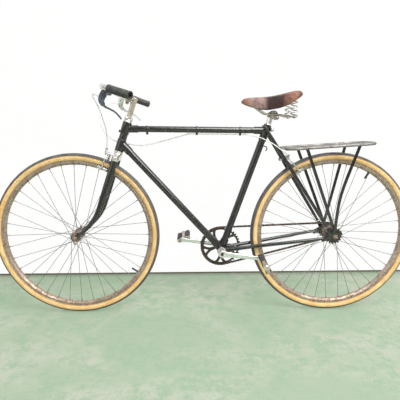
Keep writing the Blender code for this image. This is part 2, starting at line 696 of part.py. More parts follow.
def stay_tube(name, points, radii, sides=10):
    sections = []
    for i, (p, r) in enumerate(zip(points, radii)):
        ahead = (points[min(i + 1, len(points) - 1)] - points[max(i - 1, 0)]).normalized()
        u = ahead.cross(Y).normalized()
        v = ahead.cross(u).normalized()
        sections.append(oval(p, u, v, r, r, sides))
    return loft(name, root, points[0], sections, enamel)


def dropout(side, name):
    """Forward-opening dropout plate with the rack eye behind the axle."""
    outline = [(-0.060, -0.0135), (-0.050, -0.0010), (-0.030, 0.0100), (-0.040, 0.0330),
               (-0.028, 0.0400), (-0.012, 0.0200), (0.010, 0.0180), (0.020, 0.0220),
               (0.029, 0.0160), (0.024, 0.0040), (0.012, -0.0060), (0.004, -0.0150),
               (-0.014, -0.0160), (-0.030, -0.0150), (-0.052, -0.0210)]
    plate = flat_curve(name, root, (0, side * dropout_y, 0), [outline], DROPOUT_THICKNESS / 2,
                       enamel)
    return as_mesh(plate)


def rear_stays():
    chain_radii = [CHAINSTAY_R * taper for taper in (1.0, 0.94, 0.92, 0.85, 0.73)]
    stays = []
    for side, name in ((1, "chainstays"), (-1, "chainstay_left_half")):
        points = stay_points(side)
        stays.append(stay_tube(name, points, chain_radii))
    plates = [dropout(1, "dropout_right"), dropout(-1, "dropout_left")]
    bridge_point = bracket + (rear_hub - bracket).normalized() * 0.062
    bridge = pipe("chainstay_bridge", root, bridge_point - Y * 0.026, bridge_point + Y * 0.026,
                  0.0065, sides=10)
    axle_slots = [pipe("axle_slot", root, (0, s * (dropout_y - 0.01), 0),
                       (0, s * (dropout_y + 0.01), 0), AXLE_R + CLEARANCE, sides=12)
                  for s in (-1, 1)]
    join(stays[0], bridge, stays[1], *plates)
    cut(stays[0], *axle_slots)
    seat_radii = [SEATSTAY_R * taper for taper in (0.886, 1.0, 1.0, 0.829)]
    halves = []
    for side, name in ((1, "seatstays"), (-1, "seatstay_left_half")):
        rows = ((0.0, 0.0225), (0.30, 0.0330), (0.70, 0.0500), (0.985, 0.0600))
        points = [stay_high.lerp(seatstay_foot, t) + Y * (side * out) for t, out in rows]
        halves.append(stay_tube(name, points, seat_radii))
    bridge = pipe("brake_bridge", root, brake_bridge - Y * 0.030, brake_bridge + Y * 0.030,
                  BRIDGE_R, sides=10)
    join(halves[0], bridge, halves[1])
    return stays[0], halves[0]


def seat_post():
    post = pipe("seat_post", root, seat_top - seat_dir * 0.110, seat_top + seat_dir * 0.006,
                SEAT_TUBE_R - WALL - CLEARANCE, mat=chrome, twist=0.5)
    neck = pipe("post_neck", root, seat_top - seat_dir * 0.01, post_top, POST_NECK_R)
    join(post, neck)


def headset():
    low_cup = [(0.0190, 0.0), (0.0190, -0.0030), (0.0175, -0.0075), (0.0155, -0.0075),
               (0.0155, 0.0)]
    turned("headset_lower_cup", root, head_foot - head_dir * CLEARANCE, low_cup, chrome,
           aim=head_dir)
    race = [(0.0175, -0.0080), (0.0195, -0.0105), (0.0195, -0.0130), (0.0141, -0.0130),
            (0.0141, -0.0080)]
    turned("headset_crown_race", steering, head_foot - head_dir * CLEARANCE, race, chrome,
           aim=head_dir)
    top_cup = [(0.0155, 0.0070), (0.0172, 0.0070), (0.0190, 0.0030), (0.0190, 0.0),
               (0.0155, 0.0)]
    turned("headset_upper_cup", root, head_top + head_dir * CLEARANCE, top_cup, chrome,
           aim=head_dir)
    nut = [(0.0150, 0.0220), (0.0165, 0.0220), (0.0165, 0.0140), (0.0180, 0.0125),
           (0.0180, 0.0075), (0.0150, 0.0075)]
    turned("headset_locknut", steering, head_top + head_dir * CLEARANCE, nut, chrome,
           aim=head_dir, sides=8)


def fork():
    """Chromed crown with its steerer, and two blades that curve forward to the hub."""
    crown_top = head_foot - head_dir * 0.0136
    crown_low = crown_top - head_dir * 0.022
    steerer = pipe("fork_crown", steering, crown_low - head_dir * 0.001,
                   head_top + head_dir * 0.0215, STEERER_R, QUILL_R + CLEARANCE, mat=chrome)
    block = loft("crown_block", steering, crown_top, [
        oval(crown_top, Y, head_front, 0.0250, 0.0165, 16),
        oval(crown_top - head_dir * 0.008, Y, head_front, 0.0450, CROWN_DEEP, 16),
        oval(crown_low, Y, head_front, 0.0470, CROWN_DEEP, 16)], chrome)
    join(steerer, block)
    sockets = []
    for side in (-1, 1):
        mouth = crown_low + Y * (side * BLADE_TOP_Y)
        sockets.append(loft("crown_socket", steering, mouth, [
            oval(mouth - head_dir * 0.002, Y, head_front, BLADE_ACROSS + CLEARANCE,
                 BLADE_DEEP + CLEARANCE, 12),
            oval(mouth + head_dir * 0.012, Y, head_front, BLADE_ACROSS + CLEARANCE,
                 BLADE_DEEP + CLEARANCE, 12)], chrome))
    cut(steerer, *sockets)
    bore = pipe("quill_bore", steering, crown_low - head_dir * 0.01, head_top + head_dir * 0.05,
                QUILL_R + CLEARANCE)
    cut(steerer, bore)
    for side, name in ((-1, "fork_blade_left"), (1, "fork_blade_right")):
        sections = []
        blade_top = crown_low + head_dir * (0.012 - CLEARANCE)
        height = (blade_top - fork_foot).dot(head_dir)
        straight = BLADE_ROWS[-2][0]
        for along, across, deep in BLADE_ROWS:
            up = height * along
            ahead = FORK_RAKE * max(0.0, 1 - up / BLADE_BEND) ** 2
            slope = -2 * FORK_RAKE / BLADE_BEND * max(0.0, 1 - up / BLADE_BEND)
            spread = max(0.0, 1 - along / straight)
            out = BLADE_TOP_Y + (fork_end_y - BLADE_TOP_Y) * spread
            centre = fork_foot + head_dir * up + head_front * ahead + Y * (side * out)
            tangent = (head_dir + head_front * slope).normalized()
            front = Y.cross(tangent).normalized()
            sections.append(oval(centre, Y, front, across, deep, 12))
        blade = loft(name, steering, crown_low, sections, enamel)
        end = as_mesh(flat_curve("fork_end", steering, front_hub + Y * (side * fork_end_y),
                                 [FORK_END], DROPOUT_THICKNESS / 2, enamel))
        join(blade, end)
        slot = pipe("fork_slot", steering, front_hub + Y * (side * (fork_end_y - 0.01)),
                    front_hub + Y * (side * (fork_end_y + 0.01)), AXLE_R + CLEARANCE, sides=12)
        cut(blade, slot)


def stem_and_bar():
    clamp = bar_clamp
    quill = pipe("stem", steering, head_top - head_dir * 0.060, quill_top, QUILL_R, mat=chrome)
    collar = pipe("stem_clamp", steering, clamp - Y * 0.019, clamp + Y * 0.019, 0.0178,
                  sides=TUBE_SIDES)
    web = loft("stem_web", steering, quill_top, bar_sections([
        (quill_top - head_dir * 0.010, 0.020, 0.024),
        (clamp - head_dir * 0.003, 0.024, 0.026)], Y), chrome)
    bolt = pipe("stem_bolt", steering, quill_top - head_dir * 0.002, quill_top + head_dir * 0.009,
                0.0068, sides=6)
    pinch = pipe("pinch_bolt", steering, clamp - head_dir * 0.021 - Y * 0.014,
                 clamp - head_dir * 0.021 + Y * 0.014, 0.0055, sides=8)
    join(quill, web, collar, bolt, pinch)
    hole = pipe("bar_hole", steering, clamp - Y * 0.03, clamp + Y * 0.03,
                clear_bore(BAR_R, TUBE_SIDES))
    cut(quill, hole)
    half = [clamp, clamp + Y * 0.026]
    half += [clamp + Vector(p) for p in BAR_ROUTE]
    right = [clamp] + smooth_path(half[1:-1], 2) + [half[-1]]
    left = [mirrored(p) for p in reversed(right[1:])]
    bar = as_mesh(wire("handlebar", steering, left + right, BAR_R, chrome, resolution=2,
                       origin=clamp))
    place_points = (right[-1], (right[-1] - right[-2]).normalized())
    bore = pipe("bar_bore_r", steering, place_points[0] + place_points[1] * 0.01,
                place_points[0] - place_points[1] * 0.085, BAR_R - 0.0018, sides=10)
    bore_l = pipe("bar_bore_l", steering, mirrored(place_points[0] + place_points[1] * 0.01),
                  mirrored(place_points[0] - place_points[1] * 0.085), BAR_R - 0.0018, sides=10)
    cut(bar, bore, bore_l)
    bar.data.materials.clear()
    bar.data.materials.append(chrome)
    grip_end = right[-1] + place_points[1] * 0.002
    grip_start = grip_end - place_points[1] * GRIP_LENGTH
    for name, flip in (("grip_right", False), ("grip_left", True)):
        a, b = grip_start, grip_end
        if flip:
            a, b = mirrored(a), mirrored(b)
        pipe(name, steering, a, b, GRIP_R, clear_bore(BAR_R, 12), sides=12, mat=grip_rubber)
    return right


def brake_levers(bar_path):
    """Each lever hangs from a clamp band on the bar, with a flat blade below the grip."""
    spans = sorted(zip(bar_path, bar_path[1:]),
                   key=lambda s: abs((s[0] + s[1]).y / 2 - LEVER_BAND_Y))
    start, end = spans[0]
    band = (start + end) / 2
    way = (end - start).normalized()
    under = band - Vector((0, 0, BAR_R + 0.0045))
    rows = [(under, 0.016, 0.012), (under + way * 0.022 - Vector((0.004, 0, 0.006)), 0.017, 0.012)]
    rows += [(bar_clamp + Vector((x, y, z)), w, t) for x, y, z, w, t in LEVER_ROWS]
    for name, flip, mat in (("brake_lever_left", True, lever_blue),
                            ("brake_lever_right", False, alloy)):
        turn = mirrored if flip else Vector
        placed = [(turn(p), w, t) for p, w, t in rows]
        across = Vector((0.6, -0.8 if flip else 0.8, 0.0))
        lever = loft(name, steering, placed[0][0], bar_sections(placed, across), mat)
        a, b = turn(band - way * 0.007), turn(band + way * 0.007)
        ring = pipe("lever_band", steering, a, b, BAR_R + 0.0038, sides=12)
        hole = pipe("lever_band_hole", steering, a - (b - a) * 1.5, b + (b - a) * 1.5,
                    clear_bore(BAR_R, 12), sides=12)
        join(lever, ring)
        cut(lever, hole)


def caliper(tag, parent, pivot, pad, bolt_way, bolt_length, cable_arm):
    """Side-pull brake: a pair of curved arms, its centre bolt and two rubber pads."""
    down = (pad - pivot)
    foot_y = RIM_HALF_WIDTH + PAD_GAP + PAD_THICKNESS + CLEARANCE + ARM_R
    rows = ((foot_y, 0.98), (0.0330, 0.78), (0.0345, 0.45), (0.0260, 0.14), (0.0, -0.02))
    left = [pivot + down * along - Y * out for out, along in rows]
    right = [pivot + down * along + Y * out for out, along in reversed(rows[:-1])]
    arms = as_mesh(wire(tag + "_brake_arms", parent, left + right, ARM_R, alloy, origin=pivot))
    bolt = pipe(tag + "_bolt", parent, pivot + bolt_way * 0.012, pivot - bolt_way * bolt_length,
                0.0030, sides=8)
    nut = pipe(tag + "_nut", parent, pivot + bolt_way * 0.002, pivot + bolt_way * 0.011, 0.0060,
               sides=6)
    rise, ahead = cable_arm
    arm_end = pivot - Y * CABLE_ARM_OUT - down * rise + bolt_way * ahead
    lever = as_mesh(wire(tag + "_cable_arm", parent,
                         [pivot - Y * (0.45 * CABLE_ARM_OUT) + down * 0.1,
                          pivot - Y * (0.80 * CABLE_ARM_OUT) - down * 0.06 + bolt_way * 0.007,
                          arm_end], CABLE_ARM_R, alloy))
    join(arms, bolt, nut, lever)
    arms.data.materials.clear()
    arms.data.materials.append(alloy)
    inner = RIM_HALF_WIDTH + PAD_GAP
    way = down.normalized().cross(Y).normalized()
    for side, name in ((-1, "_brake_pad_left"), (1, "_brake_pad_right")):
        centre = pad + Y * (side * (inner + PAD_THICKNESS / 2))
        bm = bmesh.new()
        bmesh.ops.create_cube(bm, size=1.0)
        bmesh.ops.scale(bm, vec=(PAD_LENGTH, PAD_THICKNESS, PAD_HEIGHT), verts=bm.verts)
        block = from_bmesh(tag + name, bm, smooth=False)
        place(block, parent, centre, black_rubber)
        block.rotation_mode = "XYZ"
        block.rotation_euler = (0, math.atan2(-way.z, way.x), 0)
    return arm_end


def on_rim(pivot, down, outward, lean, hub):
    """Where arms that hang from a pivot and lean outward meet the rim's braking side."""
    way = down * math.cos(lean) + outward * math.sin(lean)
    reach = pivot - hub
    along = reach.dot(way)
    down_to = -along - math.sqrt(along ** 2 - reach.dot(reach) + (RIM_OUTER_R - PAD_DOWN) ** 2)
    return pivot + way * down_to


def brakes():
    """Front calliper on the crown and rear calliper on the bridge, both pulled on the left."""
    pivot = head_foot - head_dir * 0.0250 + head_front * CALIPER_AHEAD
    pad = on_rim(pivot, -head_dir, head_front, FRONT_ARM_LEAN, front_hub)
    front_seat = caliper("front", steering, pivot, pad, head_front,
                         CALIPER_AHEAD - CROWN_DEEP - CLEARANCE, FRONT_CABLE_ARM)
    pivot = brake_bridge - stay_front * CALIPER_BEHIND
    pad = on_rim(pivot, stay_down, -stay_front, REAR_ARM_LEAN, rear_hub)
    rear_seat = caliper("rear", root, pivot, pad, -stay_front,
                        CALIPER_BEHIND - BRIDGE_R - CLEARANCE, REAR_CABLE_ARM)
    return front_seat, rear_seat


def wheel(tag, axis_empty, centre, hub_rows, flange_y, flange_r):
    """Tyre, rim, and a hub with its thirty-six crossed spokes."""
    base = RIM_OUTER_R + CLEARANCE
    centre_r = TYRE_CENTRE_R
    start = math.acos((centre_r - base) / TYRE_SECTION_R)
    steps = 9
    profile = []
    for i in range(steps + 1):
        a = start + (2 * math.pi - 2 * start) * i / steps
        profile.append((centre_r - TYRE_SECTION_R * math.cos(a), TYRE_SECTION_R * math.sin(a)))
    turned(tag + "_tyre", axis_empty, centre, profile, tyre_rubber, sides=WHEEL_STEPS)
    w = RIM_HALF_WIDTH
    rim = [(RIM_OUTER_R, w - RIM_LIP), (RIM_BED_R, 0.0), (RIM_OUTER_R, -w + RIM_LIP),
           (RIM_OUTER_R, -w), (RIM_OUTER_R - RIM_SHOULDER, -w), (RIM_INNER_R, -w * 0.45),
           (RIM_INNER_R, w * 0.45), (RIM_OUTER_R - RIM_SHOULDER, w), (RIM_OUTER_R, w)]
    turned(tag + "_rim", axis_empty, centre, rim, rim_steel, sides=WHEEL_STEPS)
    hub = turned(tag + "_hub_and_spokes", axis_empty, centre, hub_rows, rusty, sides=12)
    bm = bmesh.new()
    for side in (-1, 1):
        for k in range(SPOKE_COUNT // 2):
            turn = 2 * math.pi * (k + (0.5 if side > 0 else 0.0)) / (SPOKE_COUNT // 2)
            lead = SPOKE_CROSS_ANGLE if k % 2 == 0 else -SPOKE_CROSS_ANGLE
            y = side * flange_y + (SPOKE_OFFSET if k % 2 == 0 else -SPOKE_OFFSET)
            a = Vector((flange_r * math.cos(turn), y, flange_r * math.sin(turn)))
            part = (turn + lead) % (2 * math.pi / WHEEL_STEPS) - math.pi / WHEEL_STEPS
            reach = RIM_INNER_R * math.cos(math.pi / WHEEL_STEPS) / math.cos(part) - CLEARANCE
            b = Vector((reach * math.cos(turn + lead), 0, reach * math.sin(turn + lead)))
            pull = (b - a).normalized()
            middle = (a + b) / 2
            matrix = Matrix.Translation(middle) @ pull.to_track_quat("Z", "Y").to_matrix().to_4x4()
            bmesh.ops.create_cone(bm, cap_ends=True, segments=3, radius1=SPOKE_R,
                                  radius2=SPOKE_R, depth=(b - a).length, matrix=matrix)
    spokes = place(from_bmesh(tag + "_spokes", bm), axis_empty, centre, rusty)
    join(hub, spokes)
    return hub


def hub_profile(flange_y, flange_r, barrel_r, half, thread_r=None):
    """Outer side top to bottom, then the bore for the axle."""
    f = FLANGE_THICKNESS / 2
    out = [(0.0090, half), (0.0110, half - 0.004)]
    if thread_r:
        out = [(0.0100, half), (thread_r, half - 0.003), (thread_r, flange_y + 0.006)]
    else:
        out.append((0.0120, flange_y + 0.006))
    out += [(flange_r - 0.006, flange_y + f), (flange_r + 0.004, flange_y + f),
            (flange_r + 0.004, flange_y - f), (flange_r - 0.006, flange_y - f),
            (barrel_r, flange_y - 0.010)]
    mirror_rows = [(r, -z) for r, z in reversed(out)]
    return out + mirror_rows + [(HUB_BORE_R, -half), (HUB_BORE_R, half)]


def wheels():
    front_half = FRONT_OPENING / 2 - 0.004
    rear_half = REAR_OPENING / 2 - 0.006
    wheel("front", front_axis, front_hub, hub_profile(0.034, 0.0185, 0.0130, front_half), 0.034,
          0.0185)
    wheel("rear", rear_axis, rear_hub,
          hub_profile(0.031, 0.0205, 0.0150, rear_half, COG_THREAD_R), 0.031, 0.0205)


def axles():
    """Fixed axles with cones, nuts and, at the front, wing nuts."""
    half = FRONT_OPENING / 2
    out = half + DROPOUT_THICKNESS
    axle = pipe("front_axle", steering, front_hub - Y * (out + 0.018),
                front_hub + Y * (out + 0.018), AXLE_R, sides=8, mat=rusty)
    extra = []
    for side in (-1, 1):
        inner = front_hub + Y * (side * (half - CLEARANCE))
        extra.append(pipe("front_cone", steering, inner - Y * (side * 0.0033), inner, 0.0080,
                          sides=8))
        seat = front_hub + Y * (side * (out + CLEARANCE))
        extra.append(pipe("wing_boss", steering, seat, seat + Y * (side * 0.010), 0.0090,
                          sides=8, r_end=0.0065))
        for turn in (0.5, 0.5 + math.pi):
            way = Vector((math.cos(turn), 0, math.sin(turn)))
            middle = seat + Y * (side * 0.006)
            extra.append(loft("wing", steering, middle, bar_sections([
                (middle + way * 0.004, 0.006, 0.0040),
                (middle + way * 0.016 + Y * (side * 0.005), 0.011, 0.0035),
                (middle + way * 0.023 + Y * (side * 0.009), 0.009, 0.0030)], Y), rusty))
    join(axle, *extra)
    half = REAR_OPENING / 2
    out = half + DROPOUT_THICKNESS
    axle = pipe("rear_axle", root, rear_hub - Y * (out + 0.013), rear_hub + Y * (out + 0.013),
                AXLE_R, sides=8, mat=rusty)
    extra = []
    for side in (-1, 1):
        inner = rear_hub + Y * (side * (half - CLEARANCE))
        extra.append(pipe("rear_cone", root, inner - Y * (side * 0.0053), inner, 0.0080,
                          sides=8))
        seat = rear_hub + Y * (side * (out + CLEARANCE))
        extra.append(pipe("rear_nut", root, seat, seat + Y * (side * 0.008), 0.0095, sides=6))
    join(axle, *extra)


def tooth_outline(teeth, pitch_r):
    root_r = pitch_r - 0.0038
    tip_r = pitch_r + TOOTH_RISE
    out = []
    for i in range(teeth):
        for share, r in ((0.0, root_r), (0.36, tip_r), (0.64, tip_r)):
            a = 2 * math.pi * (i + share) / teeth
            out.append((r * math.cos(a), r * math.sin(a)))
    return out


def circle_outline(radius, count, centre=(0.0, 0.0)):
    return [(centre[0] + radius * math.cos(2 * math.pi * i / count),
             centre[1] - radius * math.sin(2 * math.pi * i / count)) for i in range(count)]


def polar(r, degrees):
    a = math.radians(degrees)
    return (r * math.cos(a), r * math.sin(a))


def ring_windows():
    """Five wide windows between the arms and five small ones inside each arm's fork."""
    windows = []
    for k in range(5):
        mid = 72 * k + 18
        fork = 72 * k + 54
        wide = [polar(0.0235, mid - 22), polar(0.0235, mid), polar(0.0235, mid + 22),
                polar(0.048, mid + 26), polar(0.0735, mid + 17), polar(0.0745, mid + 6),
                polar(0.0745, mid - 6), polar(0.0735, mid - 17), polar(0.048, mid - 26)]
        small = [polar(0.057, fork), polar(0.0735, fork + 8), polar(0.0745, fork),
                 polar(0.0735, fork - 8)]
        windows.append(wide)
        windows.append(small)
    return windows


def pitch_radius(teeth):
    return CHAIN_PITCH / (2 * math.sin(math.pi / teeth))


def cranks():
    ring_r = pitch_radius(RING_TEETH)
    hole = circle_outline(RING_HOLE_R, 16)
    flat_curve("chainring", crank_axis, bracket + Y * CHAIN_LINE,
               [tooth_outline(RING_TEETH, ring_r)] + ring_windows() + [hole],
               TOOTH_HALF_THICKNESS, dark_steel)
    pipe("bracket_spindle", crank_axis, bracket - Y * (CRANK_Y - CRANK_THICKNESS / 2 - CLEARANCE),
         bracket + Y * (CHAIN_LINE - 0.006), SPINDLE_R, sides=12, mat=dark_steel)
    for side, name, way, pedal_point in ((-1, "crank_left", crank_dir, pedal_left_point),
                                         (1, "crank_right", -crank_dir, pedal_right_point)):
        here = bracket + Y * (side * CRANK_Y)
        there = pedal_point + Y * (side * CRANK_Y)
        arm = loft(name, crank_axis, here, bar_sections([
            (here + way * 0.004, 0.026, CRANK_THICKNESS),
            (here + way * 0.030, 0.021, CRANK_THICKNESS * 0.9),
            (here + way * (CRANK_LENGTH - 0.020), 0.016, CRANK_THICKNESS * 0.75),
            (there - way * 0.004, 0.018, CRANK_THICKNESS * 0.85)], way.cross(Y)), alloy)
        inner = CHAIN_LINE - 0.0055 if side > 0 else CRANK_Y - CRANK_THICKNESS / 2
        boss_r = RING_HOLE_R - CLEARANCE if side > 0 else 0.0160
        boss = pipe("crank_boss", crank_axis, bracket + Y * (side * inner),
                    here + Y * (side * CRANK_THICKNESS / 2), boss_r, sides=16)
        eye = pipe("crank_eye", crank_axis, there - Y * (side * CRANK_THICKNESS / 2),
                   there + Y * (side * CRANK_THICKNESS / 2), 0.0110, sides=12)
        spindle = pipe("pedal_spindle", crank_axis, there,
                       there + Y * (side * (PEDAL_END - CRANK_Y - 0.006)), PEDAL_SPINDLE_R,
                       sides=10)
        cotter = pipe("cotter", crank_axis, here + way.cross(Y) * 0.019,
                      here - way.cross(Y) * 0.019, 0.0040, sides=8)
        join(arm, boss, eye, spindle, cotter)


def pedal(name, axis_empty, point, side, tilt):
    """Pedal with a barrel, two end plates and four rubber blocks."""
    way = Vector((math.cos(tilt), 0, math.sin(tilt)))
    up = Vector((-math.sin(tilt), 0, math.cos(tilt)))
    near = point + Y * (side * PEDAL_START)
    far = point + Y * (side * PEDAL_END)
    barrel = pipe(name, axis_empty, near, far, PEDAL_BARREL_R, PEDAL_SPINDLE_R + 0.0006,
                  sides=12, mat=dark_steel)
    extra = []
    for spot in (PEDAL_START + 0.003, PEDAL_END - 0.010):
        centre = point + Y * (side * spot)
        rows = [(centre - way * (PEDAL_LENGTH / 2), 0.012, 0.003),
                (centre, 0.024, 0.003),
                (centre + way * (PEDAL_LENGTH / 2), 0.012, 0.003)]
        extra.append(loft("pedal_plate", axis_empty, centre, bar_sections(rows, up), dark_steel))
    for end in (-1, 1):
        middle = point + way * (end * (PEDAL_LENGTH / 2 - 0.010))
        a = middle + Y * (side * (PEDAL_START + 0.002))
        b = middle + Y * (side * (PEDAL_END - 0.009))
        extra.append(loft("pedal_rubber", axis_empty, middle, bar_sections([
            (a, PEDAL_HEIGHT, 0.020), (b, PEDAL_HEIGHT, 0.020)], up), black_rubber))
    join(barrel, *extra)
    hole = pipe("pedal_bore", axis_empty, near - Y * (side * 0.01), far - Y * (side * 0.0040),
                PEDAL_SPINDLE_R + 0.0006, sides=12)
    cut(barrel, hole)
    return barrel


def rear_cogs():
    cog_r = pitch_radius(COG_TEETH)
    for name, parent, side in (("drive_cog", rear_axis, 1), ("left_cog", rear_axis, -1)):
        flat_curve(name, parent, rear_hub + Y * (side * CHAIN_LINE),
                   [tooth_outline(COG_TEETH, cog_r), circle_outline(clear_bore(COG_THREAD_R, 16), 16)],
                   TOOTH_HALF_THICKNESS, dark_steel)


def chain_pins():
    """Pin places round both sprockets: the path length is shared out into even links."""
    r1 = pitch_radius(RING_TEETH)
    r2 = pitch_radius(COG_TEETH)
    line = rear_hub - bracket
    gap = math.hypot(line.x, line.z)
    heading = math.atan2(line.z, line.x)
    lean = math.acos((r1 - r2) / gap)
    straight = math.sqrt(gap ** 2 - (r1 - r2) ** 2)
    big_arc = 2 * math.pi - 2 * lean
    small_arc = 2 * lean
    total = 2 * straight + r1 * big_arc + r2 * small_arc
    count = 2 * round(total / CHAIN_PITCH / 2)
    top1 = bracket + Vector((math.cos(heading + lean), 0, math.sin(heading + lean))) * r1
    top2 = rear_hub + Vector((math.cos(heading + lean), 0, math.sin(heading + lean))) * r2
    low1 = bracket + Vector((math.cos(heading - lean), 0, math.sin(heading - lean))) * r1
    low2 = rear_hub + Vector((math.cos(heading - lean), 0, math.sin(heading - lean))) * r2

    def at(s):
        s = s % total
        if s < straight:
            return top1.lerp(top2, s / straight), False
        s -= straight
        if s < r2 * small_arc:
            a = heading + lean - s / r2
            return rear_hub + Vector((math.cos(a), 0, math.sin(a))) * r2, True
        s -= r2 * small_arc
        if s < straight:
            return low2.lerp(low1, s / straight), False
        s -= straight
        a = heading - lean - s / r1
        return bracket + Vector((math.cos(a), 0, math.sin(a))) * r1, True
    return at, total, count


def chain():
    """A closed loop of link plates either side of the sprockets, tied by its rollers."""
    at, total, count = chain_pins()
    step = total / count
    keep_out = ((bracket, pitch_radius(RING_TEETH) + TOOTH_RISE + 0.0005),
                (rear_hub, pitch_radius(COG_TEETH) + TOOTH_RISE + 0.0005))
    stations = []
    for i in range(count):
        pin, wrapped = at(i * step)
        offsets = (0.0,) if wrapped else (-ROLLER_HALF, ROLLER_HALF)
        outer = i % 2 == 0
        for k, off in enumerate(offsets):
            p = at(i * step + off)[0]
            q = at(i * step + off + 0.0005)[0]
            ahead = (q - p).normalized()
            out_way = Vector((-ahead.z, 0, ahead.x))
            wide = (outer if k == 0 else not outer)
            stations.append((p, out_way, wide, len(offsets) == 2 and k == 0))
    bm = bmesh.new()
    sides = {}
    for side in (-1, 1):
        loops = []
        for p, out_way, wide, _ in stations:
            inner = CHAIN_INNER_GAP + (PLATE if wide else 0.0)
            rows = ((inner, -1), (inner + PLATE, -1), (inner + PLATE, 1), (inner, 1))
            loops.append([bm.verts.new(p - bracket + Y * (side * y)
                                       + out_way * (h * CHAIN_HALF_HEIGHT)) for y, h in rows])
        sides[side] = loops
    total_stations = len(stations)
    for side in (-1, 1):
        loops = sides[side]
        for i in range(total_stations):
            a, b = loops[i], loops[(i + 1) % total_stations]
            open_here = stations[i][3] and roller_clear(stations[i], stations[(i + 1)
                                                        % total_stations], keep_out)
            for k in range(4):
                if open_here and k == 3:
                    continue
                m = (k + 1) % 4
                bm.faces.new((a[k], a[m], b[m], b[k]))
    for i in range(total_stations):
        j = (i + 1) % total_stations
        if stations[i][3] and roller_clear(stations[i], stations[j], keep_out):
            la, lb = sides[-1][i], sides[-1][j]
            ra, rb = sides[1][i], sides[1][j]
            bm.faces.new((la[3], lb[3], rb[3], ra[3]))
            bm.faces.new((la[0], ra[0], rb[0], lb[0]))
            bm.faces.new((la[0], la[3], ra[3], ra[0]))
            bm.faces.new((lb[0], rb[0], rb[3], lb[3]))
    place(from_bmesh("chain", bm, smooth=False), root, bracket + Y * CHAIN_LINE, dark_steel)


def roller_clear(first, second, keep_out):
    """Whether a roller between two stations stays outside the teeth's sweep."""
    for p, out_way, _, _ in (first, second):
        for h in (-1, 1):
            corner = p + out_way * (h * CHAIN_HALF_HEIGHT)
            for centre, reach in keep_out:
                if (corner - centre).length < reach:
                    return False
    return True


def seat_at(x, y, z):
    """Point of the saddle, measured from the seat post's top."""
    return post_top + Vector((x, y, z))


def saddle():
    """Leather top as a shell over its sections."""
    bm = bmesh.new()
    grid = []
    for x, half, top, low in SADDLE_ROWS:
        grid.append([bm.verts.new(seat_at(x, half * share, top - (top - low) * fall) - rider)
                     for share, fall in SADDLE_CROSS])
    for a, b in zip(grid, grid[1:]):
        for i in range(len(a) - 1):
            bm.faces.new((a[i], b[i], b[i + 1], a[i + 1]))
    top = from_bmesh("saddle_top", bm)
    place(top, root, rider, leather)
    shell = top.modifiers.new("thickness", "SOLIDIFY")
    shell.thickness = LEATHER
    shell.offset = -1


def between(rows, at):
    """Straight-line reading of a table at a value of its first column."""
    for low, high in zip(rows, rows[1:]):
        if low[0] <= at <= high[0]:
            share = (at - low[0]) / (high[0] - low[0])
            return [a + (b - a) * share for a, b in zip(low, high)]
    return list(rows[-1])


def under_leather(x, y):
    """Centre of a steel plate that lies just under the leather, from the post's top."""
    _, half, top, low = between(SADDLE_ROWS, x)
    fall = between(SADDLE_CROSS, y / half)[1]
    seat = LEATHER + 2 * CLEARANCE + PLATE_STEEL / 2
    return seat_at(x, y, top - (top - low) * fall - seat)


